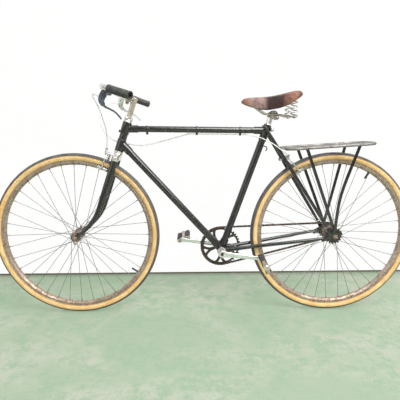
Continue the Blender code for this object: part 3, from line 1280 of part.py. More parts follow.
def saddle_frame():
    """Wire rails, spring seats, two coil springs and the clamp on the seat post."""
    nose_z = under_leather(NOSE_X, 0).z - post_top.z - PLATE_STEEL / 2 - 0.6 * RAIL_R
    half = [(NOSE_X, 0.008, nose_z)] + [(x, y, RAIL_Z + z) for x, y, z in RAIL_ROWS]
    right = smooth_path([seat_at(*p) for p in half], 2)
    left = [mirrored(p) for p in right]
    path = list(reversed(left)) + right
    rails = as_mesh(wire("saddle_frame", root, path, RAIL_R, rusty, origin=rider))
    seat_reach = SPRING_Y + SPRING_R + SPRING_WIRE_R
    seat_width = 2 * (SPRING_R + SPRING_WIRE_R)
    bar_z = RAIL_Z + RAIL_ROWS[-1][2]
    low_bar = loft("spring_seat_low", root, seat_at(SPRING_X, 0, bar_z), bar_sections([
        (seat_at(SPRING_X, -seat_reach, bar_z), seat_width, SPRING_SEAT),
        (seat_at(SPRING_X, seat_reach, bar_z), seat_width, SPRING_SEAT)], (1, 0, 0)), rusty)
    nose_rows = [(under_leather(NOSE_X + x, 0), width, PLATE_STEEL)
                 for x, width in ((-0.006, 0.016), (0.004, 0.020), (0.022, 0.024))]
    nose = loft("nose_plate", root, nose_rows[0][0], bar_sections(nose_rows, (0, 1, 0)), rusty)
    join(rails, low_bar, nose)
    rails.data.materials.clear()
    rails.data.materials.append(rusty)
    fore, aft = under_leather(SPRING_X - 0.015, 0), under_leather(SPRING_X + 0.010, 0)
    loft("saddle_cantle", root, under_leather(SPRING_X, 0), bar_sections(
        [(under_leather(SPRING_X, y), width, PLATE_STEEL)
         for y, width in ((-0.060, 0.018), (-SPRING_Y, 0.022), (-0.033, 0.022), (0.0, 0.022),
                          (0.033, 0.022), (SPRING_Y, 0.022), (0.060, 0.018))],
        aft - fore), rusty)
    spring_top = min(under_leather(SPRING_X - SPRING_R, SPRING_Y).z,
                     under_leather(SPRING_X, SPRING_Y + SPRING_R).z) - PLATE_STEEL / 2
    lift = SPRING_WIRE_R + CLEARANCE
    base = post_top.z + bar_z + SPRING_SEAT / 2 + lift
    reach = spring_top - lift - base
    steps = int(SPRING_TURNS * SPRING_STEPS)
    for side, name in ((-1, "saddle_spring_left"), (1, "saddle_spring_right")):
        centre = Vector((post_top.x + SPRING_X, side * SPRING_Y, base))
        pts = []
        for i in range(steps + 1):
            a = 2 * math.pi * i / SPRING_STEPS
            pts.append(centre + Vector((SPRING_R * math.cos(a), SPRING_R * math.sin(a),
                                        reach * i / steps)))
        wire(name, root, pts, SPRING_WIRE_R, rusty, resolution=1, origin=centre)
    clamp_at = Vector((CLAMP_X, 0, RAIL_Z - 0.0005))
    bolt_at = clamp_at + Vector((0.012, 0, -0.012))
    clamp = pipe("saddle_clamp", root, post_top + clamp_at - Y * 0.017,
                 post_top + clamp_at + Y * 0.017, 0.0165, sides=12, mat=rusty)
    ears = pipe("clamp_bolt", root, post_top + bolt_at - Y * 0.030,
                post_top + bolt_at + Y * 0.030, 0.0050, sides=8)
    hole = pipe("clamp_hole", root, post_top - seat_dir * 0.05, post_top + seat_dir * CLEARANCE,
                POST_NECK_R + CLEARANCE)
    join(clamp, ears)
    grooves = []
    for side in (-1, 1):
        pts = right if side > 0 else left
        grooves.append(as_mesh(wire("rail_groove", root, pts, clear_bore(RAIL_R, 6), rusty)))
    cut(clamp, hole, *grooves)


def rack():
    """Carrier: a bent tube hoop with slats, four flat struts and two front arms."""
    front = Vector(RACK_FRONT)
    rear = Vector(RACK_REAR)
    way = (rear - front).normalized()
    length = (rear - front).length
    up = Y.cross(way) * -1
    half = RACK_HALF_WIDTH
    hoop = []
    for along, out in ((0.0, 0.62), (0.03, 0.80), (0.08, 0.95), (0.15, 1.0), (0.80, 1.0),
                       (0.90, 0.94), (0.96, 0.78), (0.99, 0.50), (1.0, 0.20)):
        hoop.append(front + way * (length * along) + Y * (half * out))
    path = [mirrored(p) for p in hoop] + list(reversed(hoop))
    top = as_mesh(wire("rack_top", root, path, RACK_TUBE_R, dark_steel, resolution=1,
                       origin=front))
    slats = []
    for share in (0.0, 0.30, 0.62):
        centre = front + way * (length * share)
        reach = half * (0.60 if share == 0.0 else 0.99)
        slats.append(loft("slat", root, centre, bar_sections([
            (centre - Y * reach, 0.018, 0.0035), (centre + Y * reach, 0.018, 0.0035)], way),
            dark_steel))
    for out in (-0.36, 0.36):
        a = front + Y * (half * out) + up * 0.001
        b = front + way * (length * 0.985) + Y * (half * out * 0.8) + up * 0.001
        slats.append(loft("long_slat", root, a, bar_sections([(a, 0.016, 0.0030),
                                                              (b, 0.016, 0.0030)], Y),
                          dark_steel))
    join(top, *slats)
    top.data.materials.clear()
    top.data.materials.append(dark_steel)
    eye = Vector(RACK_EYE)
    for side, tag in ((-1, "left"), (1, "right")):
        low_y = dropout_y + DROPOUT_THICKNESS / 2 + 0.0016
        high_y = half
        for name, share, layer in (("front", 0.33, 0.0), ("rear", 0.895, 0.0033)):
            head = front + way * (length * share) - up * (RACK_TUBE_R + 2 * CLEARANCE)
            head = head + Y * (side * (high_y if share < 0.5 else high_y * 0.93))
            foot = eye + Y * (side * (low_y + layer))
            foot_end = eye - Vector((0, 0, 0.008)) + Y * (side * (low_y + layer))
            rows = [(foot_end, 0.013, 0.0025), (foot + Vector((0, 0, 0.02)), 0.013, 0.0025),
                    (head - Vector((0, 0, 0.012)), 0.013, 0.0025), (head, 0.013, 0.0025)]
            loft("rack_strut_%s_%s" % (name, tag), root, foot_end,
                 bar_sections(rows, (1, 0, 0)), dark_steel)


def seated(arm_end, before, gap):
    """Last point of a cable that comes from before and meets the calliper's cable arm."""
    return arm_end + (Vector(before) - arm_end).normalized() * gap


def cables(front_seat, rear_seat):
    """Brake cables in pale housings, along their whole route."""
    def run(share):
        return top_at(share) - Vector((0, 0, CABLE_DROP))

    def placed(anchor, rows):
        return [anchor + Vector(row) for row in rows]

    front = placed(bar_clamp, FRONT_CABLE_BAR) + placed(head_foot, FRONT_CABLE_HEAD)
    front.append(seated(front_seat, front[-1], 4 * CLEARANCE))
    loop = placed(bar_clamp, REAR_CABLE_BAR) + placed(head_foot, REAR_CABLE_HEAD)
    rear = placed(head_foot, REAR_CABLE_FRAME) + [run(share) for share in CABLE_RUN]
    rear += placed(top_rear, REAR_CABLE_STAYS)
    rear.append(seated(rear_seat, rear[-1], CABLE_ARM_R + CLEARANCE))
    for name, parent, points in (("front_brake_cable", steering, front),
                                 ("rear_brake_cable_loop", steering, loop),
                                 ("rear_brake_cable", root, rear)):
        wire(name, parent, smooth_path(points, 2), CABLE_R, housing, 1)


head_tube()
main_tubes()
seat_cluster()
bracket_shell()
rear_stays()
seat_post()
headset()
fork()
bar_path = stem_and_bar()
brake_levers(bar_path)
front_seat, rear_seat = brakes()
wheels()
axles()
cranks()
pedal("pedal_left", pedal_left_axis, pedal_left_point, -1, PEDAL_LEFT_TILT)
pedal("pedal_right", pedal_right_axis, pedal_right_point, 1, PEDAL_RIGHT_TILT)
rear_cogs()
chain()
saddle()
saddle_frame()
rack()
cables(front_seat, rear_seat)
bpy.context.view_layer.update()
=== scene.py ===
import math

import bmesh
import bpy
from mathutils import Matrix, Vector


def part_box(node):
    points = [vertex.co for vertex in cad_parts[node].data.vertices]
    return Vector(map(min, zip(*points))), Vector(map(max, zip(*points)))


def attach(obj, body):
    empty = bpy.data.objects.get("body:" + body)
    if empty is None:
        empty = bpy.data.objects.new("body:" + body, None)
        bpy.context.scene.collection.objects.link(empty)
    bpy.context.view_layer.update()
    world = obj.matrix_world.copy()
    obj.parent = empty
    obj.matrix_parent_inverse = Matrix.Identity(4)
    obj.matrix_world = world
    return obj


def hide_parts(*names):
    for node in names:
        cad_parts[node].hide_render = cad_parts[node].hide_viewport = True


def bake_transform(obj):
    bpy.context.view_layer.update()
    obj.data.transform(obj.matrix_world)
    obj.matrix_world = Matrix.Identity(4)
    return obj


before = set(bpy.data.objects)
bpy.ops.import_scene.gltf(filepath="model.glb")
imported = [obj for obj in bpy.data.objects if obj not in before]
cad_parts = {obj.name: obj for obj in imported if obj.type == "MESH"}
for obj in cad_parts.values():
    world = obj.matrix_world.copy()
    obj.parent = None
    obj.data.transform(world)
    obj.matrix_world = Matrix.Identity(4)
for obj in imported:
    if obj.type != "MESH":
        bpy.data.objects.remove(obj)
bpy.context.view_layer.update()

# Places are written from the rear hub, as on the drawing, and moved into the scene here
shift = Vector((0.222, 0, -0.586))
yAxis, up = Vector((0, 1, 0)), Vector((0, 0, 1))


def at(x, y, z):
    return Vector((x, y, z)) + shift


def upright(angle):
    # unit vector in the bicycle's middle plane
    return Vector((math.cos(angle), 0, math.sin(angle)))


# Fixed points of the frame, shared by all pieces
rearHub, frontHub = at(0, 0, 0), at(-1.079, 0, 0)
bracketDrop, stayLength, rake = 0.068, 0.474, 0.061
bracket = at(-math.sqrt(stayLength ** 2 - bracketDrop ** 2), 0, -bracketDrop)
seatAngle, headAngle = math.radians(70.5), math.radians(71)
seatDir, headDir = upright(seatAngle), upright(headAngle)
headFront = Vector((-headDir.z, 0, headDir.x))
headBase = frontHub + Vector((rake / math.sin(headAngle), 0, 0))
forkFoot = frontHub - headFront * rake
headStart, headLength, seatLength = 0.3745, 0.122, 0.556
headFoot = headBase + headDir * headStart
headTop = headFoot + headDir * headLength
seatTop = bracket + seatDir * seatLength
topRear = seatTop - seatDir * 0.022
topFront = headTop - headDir * 0.028
downFront = headFoot + headDir * 0.034
crownTop = headFoot - headDir * 0.0136
crownLow = crownTop - headDir * 0.022
stayFoot, brakeBridge = at(-0.034, 0, 0.0366), at(-0.2197, 0, 0.315)
crankDir = upright(math.radians(-7.5))
crankLength, crankSide = 0.165, 0.07
chainLine, chainPitch = 0.044, 0.0127
bladeSide, forkEndSide, dropoutSide = 0.0345, 0.05225, 0.06225
bendRise = 0.155  # height above the hub where the blades start to sweep forward
padRadius = 0.3075  # from the hub to the middle of a brake pad


def newMesh(bm, name="part"):
    mesh = bpy.data.meshes.new(name)
    bm.to_mesh(mesh)
    bm.free()
    return mesh


def aimed(point, way):
    # matrix with its own Z along way
    return Matrix.Translation(point) @ way.to_track_quat("Z", "Y").to_matrix().to_4x4()


def freshVerts(bm, before):
    return [v for v in bm.verts if v not in before]


def onlyVerts(made):
    return [g for g in made if isinstance(g, bmesh.types.BMVert)]


def openEdges(made):
    return [g for g in made if isinstance(g, bmesh.types.BMEdge) and g.is_boundary]


def stamp(bm, mesh, matrix):
    own = mesh.copy()
    own.transform(matrix)
    bm.from_mesh(own)
    bpy.data.meshes.remove(own)


def addRod(bm, start, end, radius, farRadius=None, sides=24, soft=0):
    made = bmesh.ops.create_cone(bm, cap_ends=True, segments=sides, radius1=radius,
        radius2=radius if farRadius is None else farRadius, depth=(end - start).length,
        matrix=aimed((start + end) / 2, end - start))["verts"]
    if soft:
        caps = {f for v in made for f in v.link_faces if len(f.verts) > 4}
        bmesh.ops.bevel(bm, geom=list({e for f in caps for e in f.edges}), offset=soft,
            segments=2, profile=0.5, affect="EDGES", material=-1)


def addPin(bm, point, way, low, high, radius, farRadius=None, sides=24, soft=0):
    # rod along way, between two places that are counted from point
    addRod(bm, point + way * low, point + way * high, radius, farRadius, sides, soft)


def addTurned(bm, point, way, profile, steps=48, closed=False):
    # profile rows are radius and place along the axis
    before = set(bm.verts)
    rows = [bm.verts.new((r, 0, along)) for r, along in profile]
    edges = [bm.edges.new(pair) for pair in zip(rows, rows[1:])]
    if closed:
        edges.append(bm.edges.new((rows[-1], rows[0])))
    bmesh.ops.spin(bm, geom=rows + edges, cent=(0, 0, 0), axis=(0, 0, 1), angle=2 * math.pi,
        steps=steps, use_merge=True)
    bmesh.ops.transform(bm, matrix=aimed(point, way), verts=freshVerts(bm, before))


def bothEnds(rows):
    # profile rows of one end, and the same of the other end
    return rows + [(r, -along) for r, along in reversed(rows)]


def addLoft(bm, places, sides=16, square=1.0):
    # each place is a matrix that carries a unit circle to a section
    before = set(bm.verts)
    bmesh.ops.create_circle(bm, cap_ends=True, radius=1.0, segments=sides)
    ring = freshVerts(bm, before)
    for v in ring:
        v.co.x = math.copysign(abs(v.co.x) ** square, v.co.x)
        v.co.y = math.copysign(abs(v.co.y) ** square, v.co.y)
    edges = list({e for v in ring for e in v.link_edges})
    bmesh.ops.transform(bm, matrix=places[0], verts=ring)
    for old, new in zip(places, places[1:]):
        made = bmesh.ops.extrude_edge_only(bm, edges=edges)["geom"]
        edges = openEdges(made)
        bmesh.ops.transform(bm, matrix=new @ old.inverted(), verts=onlyVerts(made))
    bmesh.ops.contextual_create(bm, geom=edges)


def section(centre, ahead, across, wide, deep):
    ahead = ahead.normalized()
    u = (across - ahead * across.dot(ahead)).normalized()
    m = Matrix((u * wide, ahead.cross(u) * deep, ahead)).transposed().to_4x4()
    m.translation = centre
    return m


def smoothRows(rows, steps):
    # even curve through rows of numbers
    rows = [list(r) for r in rows]
    first = [2 * a - b for a, b in zip(rows[0], rows[1])]
    last = [2 * a - b for a, b in zip(rows[-1], rows[-2])]
    ends = [first] + rows + [last]
    out = []
    for p, q, r, s in zip(ends, ends[1:], ends[2:], ends[3:]):
        for k in range(steps):
            t = k / steps
            out.append([0.5 * (2 * b + (c - a) * t + (2 * a - 5 * b + 4 * c - d) * t * t
                + (3 * b - a - 3 * c + d) * t ** 3) for a, b, c, d in zip(p, q, r, s)])
    return out + [rows[-1]]


def smoothPath(points, steps=2):
    return [Vector(p) for p in smoothRows([tuple(p) for p in points], steps)]


def addBand(bm, rows, across, steps=4, sides=16, square=0.5):
    # flat or oval bar through rows of x, y, z, half width, half thickness
    rows = smoothRows(rows, steps) if steps > 1 else rows
    points = [Vector(r[:3]) for r in rows]
    last = len(rows) - 1
    addLoft(bm, [section(points[i], points[min(i + 1, last)] - points[max(i - 1, 0)],
        Vector(across), r[3], r[4]) for i, r in enumerate(rows)], sides, square)


def addCurve(bm, data, outlines, closed, matrix):
    # makes a mesh of the outlines through a curve; a fourth number is the curve's own radius
    for outline in outlines:
        spline = data.splines.new("POLY")
        spline.points.add(len(outline) - 1)
        for knot, (x, y, z, share) in zip(spline.points, outline):
            knot.co, knot.radius = (x, y, z, 1), share
        spline.use_cyclic_u = closed
    holder = bpy.data.objects.new("way", data)
    bpy.context.scene.collection.objects.link(holder)
    bpy.context.view_layer.update()
    mesh = bpy.data.meshes.new_from_object(
        holder.evaluated_get(bpy.context.evaluated_depsgraph_get()))
    stamp(bm, mesh, matrix)
    bpy.data.objects.remove(holder, do_unlink=True)


def addSweep(bm, points, radius, sides=12, shares=None):
    # round bar along points
    data = bpy.data.curves.new("way", "CURVE")
    data.dimensions = "3D"
    data.bevel_depth = radius
    data.bevel_resolution = (sides - 4) // 2
    data.use_fill_caps = True
    shares = shares or [1.0] * len(points)
    addCurve(bm, data, [[(*p, share) for p, share in zip(points, shares)]], False,
        Matrix.Identity(4))


def addPlate(bm, centre, outlines, half, soft):
    # flat plate in the upright plane: first outline is its edge, the rest are holes
    data = bpy.data.curves.new("plate", "CURVE")
    data.dimensions = "2D"
    data.fill_mode = "BOTH"
    data.extrude = half - soft
    data.bevel_depth = soft
    data.bevel_resolution = 1
    data.offset = -soft
    addCurve(bm, data, [[(x, z, 0, 1.0) for x, z in outline] for outline in outlines], True,
        Matrix.Translation(centre) @ Matrix.Rotation(math.radians(90), 4, "X"))


def polar(r, degrees):
    a = math.radians(degrees)
    return (r * math.cos(a), r * math.sin(a))


def circleOutline(radius, count):
    return [polar(radius, -360 * i / count) for i in range(count)]


def mirrored(p):
    return Vector((p[0], -p[1], p[2]))


pieces = []


def linked(name, data):
    obj = bpy.data.objects.new(name, data)
    bpy.context.scene.collection.objects.link(obj)
    return obj


def settle(name, bm, body, finish, nodes=(), sharp=35):
    # one finished piece: welded, closed normals, hung on its body
    bmesh.ops.remove_doubles(bm, verts=bm.verts, dist=0.00002)
    bmesh.ops.recalc_face_normals(bm, faces=bm.faces)
    mesh = newMesh(bm, name)
    mesh.shade_smooth()
    mesh.set_sharp_from_angle(angle=math.radians(sharp))
    mesh.materials.append(finish)
    obj = linked(name, mesh)
    if body:
        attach(obj, body)
    if nodes:
        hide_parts(*nodes)
    pieces.append(obj)
    return obj


# Shader helpers: most find their node tree by the sockets they get

def addNode(tree, kind, links=None, **looks):
    item = tree.nodes.new(kind)
    for key, value in looks.items():
        setattr(item, key, value)
    for socket, source in (links or {}).items():
        if isinstance(source, bpy.types.NodeSocket):
            tree.links.new(source, item.inputs[socket])
        else:
            item.inputs[socket].default_value = source
    return item


def join(source, target):
    source.id_data.links.new(source, target)


def number(operation, first, second=0.0, clamp=False):
    tree = next(s for s in (first, second) if isinstance(s, bpy.types.NodeSocket)).id_data
    return addNode(tree, "ShaderNodeMath", {0: first, 1: second}, operation=operation,
        use_clamp=clamp).outputs[0]


def times(first, second, clamp=False):
    return number("MULTIPLY", first, second, clamp)


def plus(first, second, clamp=False):
    return number("ADD", first, second, clamp)


def spread(value, low, high, toLow=0.0, toHigh=1.0, kind="SMOOTHSTEP"):
    return addNode(value.id_data, "ShaderNodeMapRange", {"Value": value, "From Min": low,
        "From Max": high, "To Min": toLow, "To Max": toHigh},
        interpolation_type=kind).outputs["Result"]


def blend(share, first, second):
    tree = next(s for s in (share, first) if isinstance(s, bpy.types.NodeSocket)).id_data
    links = {0: share}
    for socket, source in ((6, first), (7, second)):
        plain = not isinstance(source, bpy.types.NodeSocket)
        links[socket] = (*source, 1) if plain else source
    return addNode(tree, "ShaderNodeMix", links, data_type="RGBA").outputs[2]


def noise(where, scale, detail, rough=0.5, warp=0.0):
    return addNode(where.id_data, "ShaderNodeTexNoise", {"Vector": where, "Scale": scale,
        "Detail": detail, "Roughness": rough, "Distortion": warp}).outputs["Fac"]


def moved(where, **places):
    return addNode(where.id_data, "ShaderNodeMapping", {"Vector": where, **places}).outputs[0]


def axes(vector):
    return addNode(vector.id_data, "ShaderNodeSeparateXYZ", {0: vector}).outputs


def facing(tree, output):
    return addNode(tree, "ShaderNodeNewGeometry").outputs[output]


def dent(inputs, height, strength, distance):
    join(addNode(height.id_data, "ShaderNodeBump", {"Height": height, "Strength": strength,
        "Distance": distance}).outputs["Normal"], inputs["Normal"])


def newGroup(name, values, outs):
    tree = bpy.data.node_groups.new(name, "ShaderNodeTree")
    tree.interface.new_socket(name="Vector", in_out="INPUT", socket_type="NodeSocketVector")
    for label, value in values.items():
        tree.interface.new_socket(name=label, in_out="INPUT",
            socket_type="NodeSocketFloat").default_value = value
    for label, kind in outs.items():
        tree.interface.new_socket(name=label, in_out="OUTPUT", socket_type="NodeSocket" + kind)
    return tree, tree.nodes.new("NodeGroupInput").outputs, tree.nodes.new("NodeGroupOutput").inputs


def placed(group, where, scale, amount=None):
    links = {"Vector": where, "Scale": scale}
    if amount is not None:
        links["Amount"] = amount
    return addNode(where.id_data, "ShaderNodeGroup", links, node_tree=group).outputs


def grainEffect():
    # fine unevenness of a cast, brushed or painted skin
    tree, ins, outs = newGroup("fineGrain", {"Scale": 400.0}, {"Height": "Float"})
    fine = noise(ins["Vector"], ins["Scale"], 5.0, 0.6)
    wide = noise(ins["Vector"], times(ins["Scale"], 0.13), 3.0)
    join(plus(times(fine, 0.55), times(wide, 0.45)), outs["Height"])
    return tree


def rustEffect():
    # rust that starts in patches and creeps, with its own mixed browns
    tree, ins, outs = newGroup("rustPatches", {"Scale": 60.0, "Amount": 0.3},
        {"Mask": "Float", "Colour": "Color"})
    wide = noise(ins["Vector"], ins["Scale"], 9.0, 0.68, 0.4)
    speck = noise(ins["Vector"], times(ins["Scale"], 7.0), 4.0, 0.7)
    level = number("SUBTRACT", 1.0, times(ins["Amount"], 0.72))
    join(spread(plus(wide, times(speck, 0.22)), number("SUBTRACT", level, 0.1),
        plus(level, 0.07), kind="LINEAR"), outs["Mask"])
    ramp = addNode(tree, "ShaderNodeValToRGB", {"Fac": speck})
    dark, light = ramp.color_ramp.elements
    dark.position, dark.color = 0.3, (0.06, 0.03, 0.018, 1)
    light.position, light.color = 0.72, (0.33, 0.18, 0.1, 1)
    ramp.color_ramp.elements.new(0.5).color = (0.17, 0.085, 0.048, 1)
    join(ramp.outputs["Color"], outs["Colour"])
    return tree


def dustEffect():
    # pale dust that lies on faces that look up
    tree, ins, outs = newGroup("settledDust", {"Scale": 30.0, "Amount": 0.3}, {"Mask": "Float"})
    looksUp = spread(axes(facing(tree, "Normal"))["Z"], -0.4, 1.0, 0.25, 1.0)
    cloud = spread(noise(ins["Vector"], ins["Scale"], 7.0, 0.65), 0.35, 0.72)
    join(times(times(looksUp, cloud), ins["Amount"], True), outs["Mask"])
    return tree


def wearEffect():
    # bright rubbed edges and small chips
    tree, ins, outs = newGroup("rubbedEdges", {"Scale": 90.0, "Amount": 0.3}, {"Mask": "Float"})
    edge = spread(facing(tree, "Pointiness"), 0.52, 0.62, 0.0, 0.22)
    chip = noise(ins["Vector"], ins["Scale"], 8.0, 0.7)
    level = number("SUBTRACT", 0.86, times(ins["Amount"], 0.35))
    join(spread(plus(chip, edge), level, plus(level, 0.05), kind="LINEAR"), outs["Mask"])
    return tree


grain, rust, dust, wear = grainEffect(), rustEffect(), dustEffect(), wearEffect()
print("stage: shared effects made")


def blank(name):
    # new material, the inputs of its shader, and its coordinates
    finish = bpy.data.materials.new(name)
    finish.use_nodes = True
    tree = finish.node_tree
    where = addNode(tree, "ShaderNodeTexCoord").outputs["Object"]
    return finish, tree.nodes["Principled BSDF"].inputs, where


def metalFinish(name, look):
    # painted, plated or bare metal: skin, chips, rust, dust and a fine bump
    finish, inputs, where = blank(name)
    cloud = noise(where, look["cloudScale"], 6.0, 0.6)
    chips = placed(wear, where, look["chipScale"], look["chips"])["Mask"]
    rusted = placed(rust, where, look["rustScale"], look["rust"])
    dusty = placed(dust, where, look["dustScale"], look["dust"])["Mask"]
    skin = blend(spread(cloud, 0.3, 0.7), look["colour"], look["second"])
    skin = blend(chips, skin, look["under"])
    skin = blend(rusted["Mask"], skin, rusted["Colour"])
    join(blend(dusty, skin, look["dustColour"]), inputs["Base Color"])
    bare = times(number("SUBTRACT", 1.0, rusted["Mask"]), number("SUBTRACT", 1.0, dusty))
    join(times(bare, look["metal"], True), inputs["Metallic"])
    cover = plus(times(rusted["Mask"], 0.35), times(dusty, 0.35))
    join(plus(spread(cloud, 0.3, 0.7, *look["rough"]), cover, True), inputs["Roughness"])
    fine = placed(grain, where, look["grainScale"])["Height"]
    dent(inputs, plus(times(fine, 0.4), times(rusted["Mask"], 0.5)), look["bump"], 0.0006)
    for socket, key, usual in (("Coat Weight", "coat", 0.0), ("Coat Roughness", "coatRough", 0.2),
            ("Coat IOR", "coatIor", 1.5), ("Specular IOR Level", "shine", 0.5)):
        inputs[socket].default_value = look.get(key, usual)
    return finish


# One row of looks for each metal, in the order of lookKeys
lookKeys = ("colour", "second", "under", "metal", "rough", "cloudScale", "chipScale", "chips",
    "rustScale", "rust", "dustScale", "dust", "dustColour", "grainScale", "bump")
lookRows = {
    "enamel": ((0.006, 0.005, 0.005), (0.012, 0.01, 0.009), (0.15, 0.125, 0.105), 0.1,
        (0.34, 0.52), 22, 150, 0.36, 70, 0.24, 40, 0.04, (0.42, 0.39, 0.34), 500, 0.2),
    "chrome": ((0.93, 0.91, 0.88), (0.82, 0.79, 0.74), (0.36, 0.3, 0.24), 1.0,
        (0.2, 0.38), 45, 220, 0.42, 150, 0.34, 60, 0.08, (0.5, 0.46, 0.4), 600, 0.22),
    "alloy": ((0.92, 0.93, 0.93), (0.76, 0.77, 0.77), (0.88, 0.88, 0.87), 1.0,
        (0.26, 0.4), 55, 260, 0.4, 170, 0.16, 60, 0.1, (0.46, 0.42, 0.37), 700, 0.18),
    "rustySteel": ((0.6, 0.54, 0.48), (0.36, 0.29, 0.24), (0.5, 0.44, 0.38), 0.9,
        (0.38, 0.58), 60, 240, 0.3, 130, 0.52, 60, 0.15, (0.46, 0.4, 0.33), 600, 0.4),
    "rimSteel": ((0.54, 0.45, 0.38), (0.38, 0.29, 0.22), (0.52, 0.45, 0.38), 0.85,
        (0.36, 0.56), 30, 200, 0.25, 120, 0.42, 50, 0.12, (0.5, 0.44, 0.36), 500, 0.32),
    "darkSteel": ((0.06, 0.052, 0.047), (0.1, 0.084, 0.072), (0.24, 0.2, 0.17), 0.75,
        (0.4, 0.6), 50, 200, 0.36, 110, 0.36, 55, 0.15, (0.36, 0.32, 0.28), 520, 0.35),
    "rackSteel": ((0.34, 0.33, 0.32), (0.18, 0.17, 0.165), (0.34, 0.3, 0.27), 0.7,
        (0.42, 0.62), 35, 160, 0.4, 85, 0.34, 45, 0.34, (0.42, 0.39, 0.36), 450, 0.35),
    "leverEnamel": ((0.04, 0.06, 0.08), (0.085, 0.11, 0.13), (0.35, 0.36, 0.36), 0.3,
        (0.3, 0.46), 60, 260, 0.42, 180, 0.16, 60, 0.15, (0.42, 0.4, 0.37), 650, 0.2),
}


def metal(name, base, **changes):
    return metalFinish(name, {**dict(zip(lookKeys, lookRows[base])), **changes})


enamel = metal("wornBlackEnamel", "enamel", coat=1.0, coatRough=0.16, coatIor=1.7, shine=0.1)
chrome = metal("dullChrome", "chrome")
alloy = metal("dullAlloy", "alloy")
rustySteel = metal("rustySteel", "rustySteel")
rimSteel = metal("rustedRimSteel", "rimSteel")
darkSteel = metal("oiledDarkSteel", "darkSteel")
rackSteel = metal("weatheredCarrierPaint", "rackSteel")
leverEnamel = metal("blueGreyLeverPaint", "leverEnamel", coat=0.3, coatRough=0.25)


def rubberFinish(name, look):
    finish, inputs, where = blank(name)
    cloud = noise(where, look["cloudScale"], 7.0, 0.65)
    skin = blend(spread(cloud, 0.32, 0.68), look["colour"], look["second"])
    dusty = placed(dust, where, 55.0, look["dust"])["Mask"]
    join(blend(dusty, skin, look["dustColour"]), inputs["Base Color"])
    join(spread(cloud, 0.3, 0.7, *look["rough"]), inputs["Roughness"])
    dent(inputs, placed(grain, where, look["grainScale"])["Height"], look["bump"], 0.0008)
    return finish


blackRubber = rubberFinish("blackRubber", {"colour": (0.018, 0.018, 0.018),
    "second": (0.04, 0.039, 0.037), "cloudScale": 90.0, "dust": 0.25,
    "dustColour": (0.26, 0.24, 0.22), "rough": (0.55, 0.8), "grainScale": 700.0, "bump": 0.35})
gripRubber = rubberFinish("gripRubber", {"colour": (0.022, 0.025, 0.022),
    "second": (0.06, 0.064, 0.057), "cloudScale": 120.0, "dust": 0.55,
    "dustColour": (0.24, 0.23, 0.2), "rough": (0.52, 0.78), "grainScale": 600.0, "bump": 0.45})
cableHousing = rubberFinish("paleCableHousing", {"colour": (0.92, 0.91, 0.88),
    "second": (0.78, 0.77, 0.74), "cloudScale": 60.0, "dust": 0.25,
    "dustColour": (0.4, 0.37, 0.32), "rough": (0.38, 0.6), "grainScale": 500.0, "bump": 0.15})


def tyreFinish(name, hub, look):
    # tan walls and a dark tread band, split by the distance from the hub in metres
    finish, inputs, where = blank(name)
    parts = axes(moved(where, Location=-hub))
    far = number("SQRT", plus(number("POWER", parts["X"], 2.0), number("POWER", parts["Z"], 2.0)))
    cloud = noise(where, 26.0, 8.0, 0.68)
    speck = noise(where, 240.0, 4.0)
    edge, bead, stain = look["edge"], look["bead"], look["stain"]
    ragged = plus(far, times(number("SUBTRACT", cloud, 0.5), 0.0016))
    treadShare = spread(ragged, edge - 0.0006, edge + 0.0006)
    wall = blend(spread(cloud, 0.34, 0.66), look["tan"], look["tanDark"])
    wall = blend(spread(speck, 0.58, 0.75, 0.0, 0.5), wall, stain)
    wall = blend(spread(far, bead, bead + 0.004, 0.75, 0.0), wall, stain)
    wall = blend(spread(far, edge - 0.0034, edge - 0.0004, 0.0, 0.65), wall, stain)
    tread = blend(spread(cloud, 0.3, 0.7), look["tread"], look["treadWorn"])
    join(blend(treadShare, wall, tread), inputs["Base Color"])
    join(spread(speck, 0.3, 0.7, 0.62, 0.86), inputs["Roughness"])
    slant = plus(times(number("ARCTAN2", parts["Z"], parts["X"]), look["blocks"]),
        times(number("ABSOLUTE", parts["Y"]), 520.0))
    cross = spread(number("SINE", slant), -0.9, -0.5)
    fine = placed(grain, where, 450.0)["Height"]
    dent(inputs, plus(times(cross, treadShare), times(fine, 0.35)), 0.6, 0.001)
    return finish


tyreLook = {"edge": 0.3352, "bead": 0.3162, "tan": (0.94, 0.68, 0.33),
    "tanDark": (0.82, 0.5, 0.19), "stain": (0.4, 0.19, 0.07), "tread": (0.075, 0.072, 0.07),
    "treadWorn": (0.15, 0.145, 0.14), "blocks": 260.0}


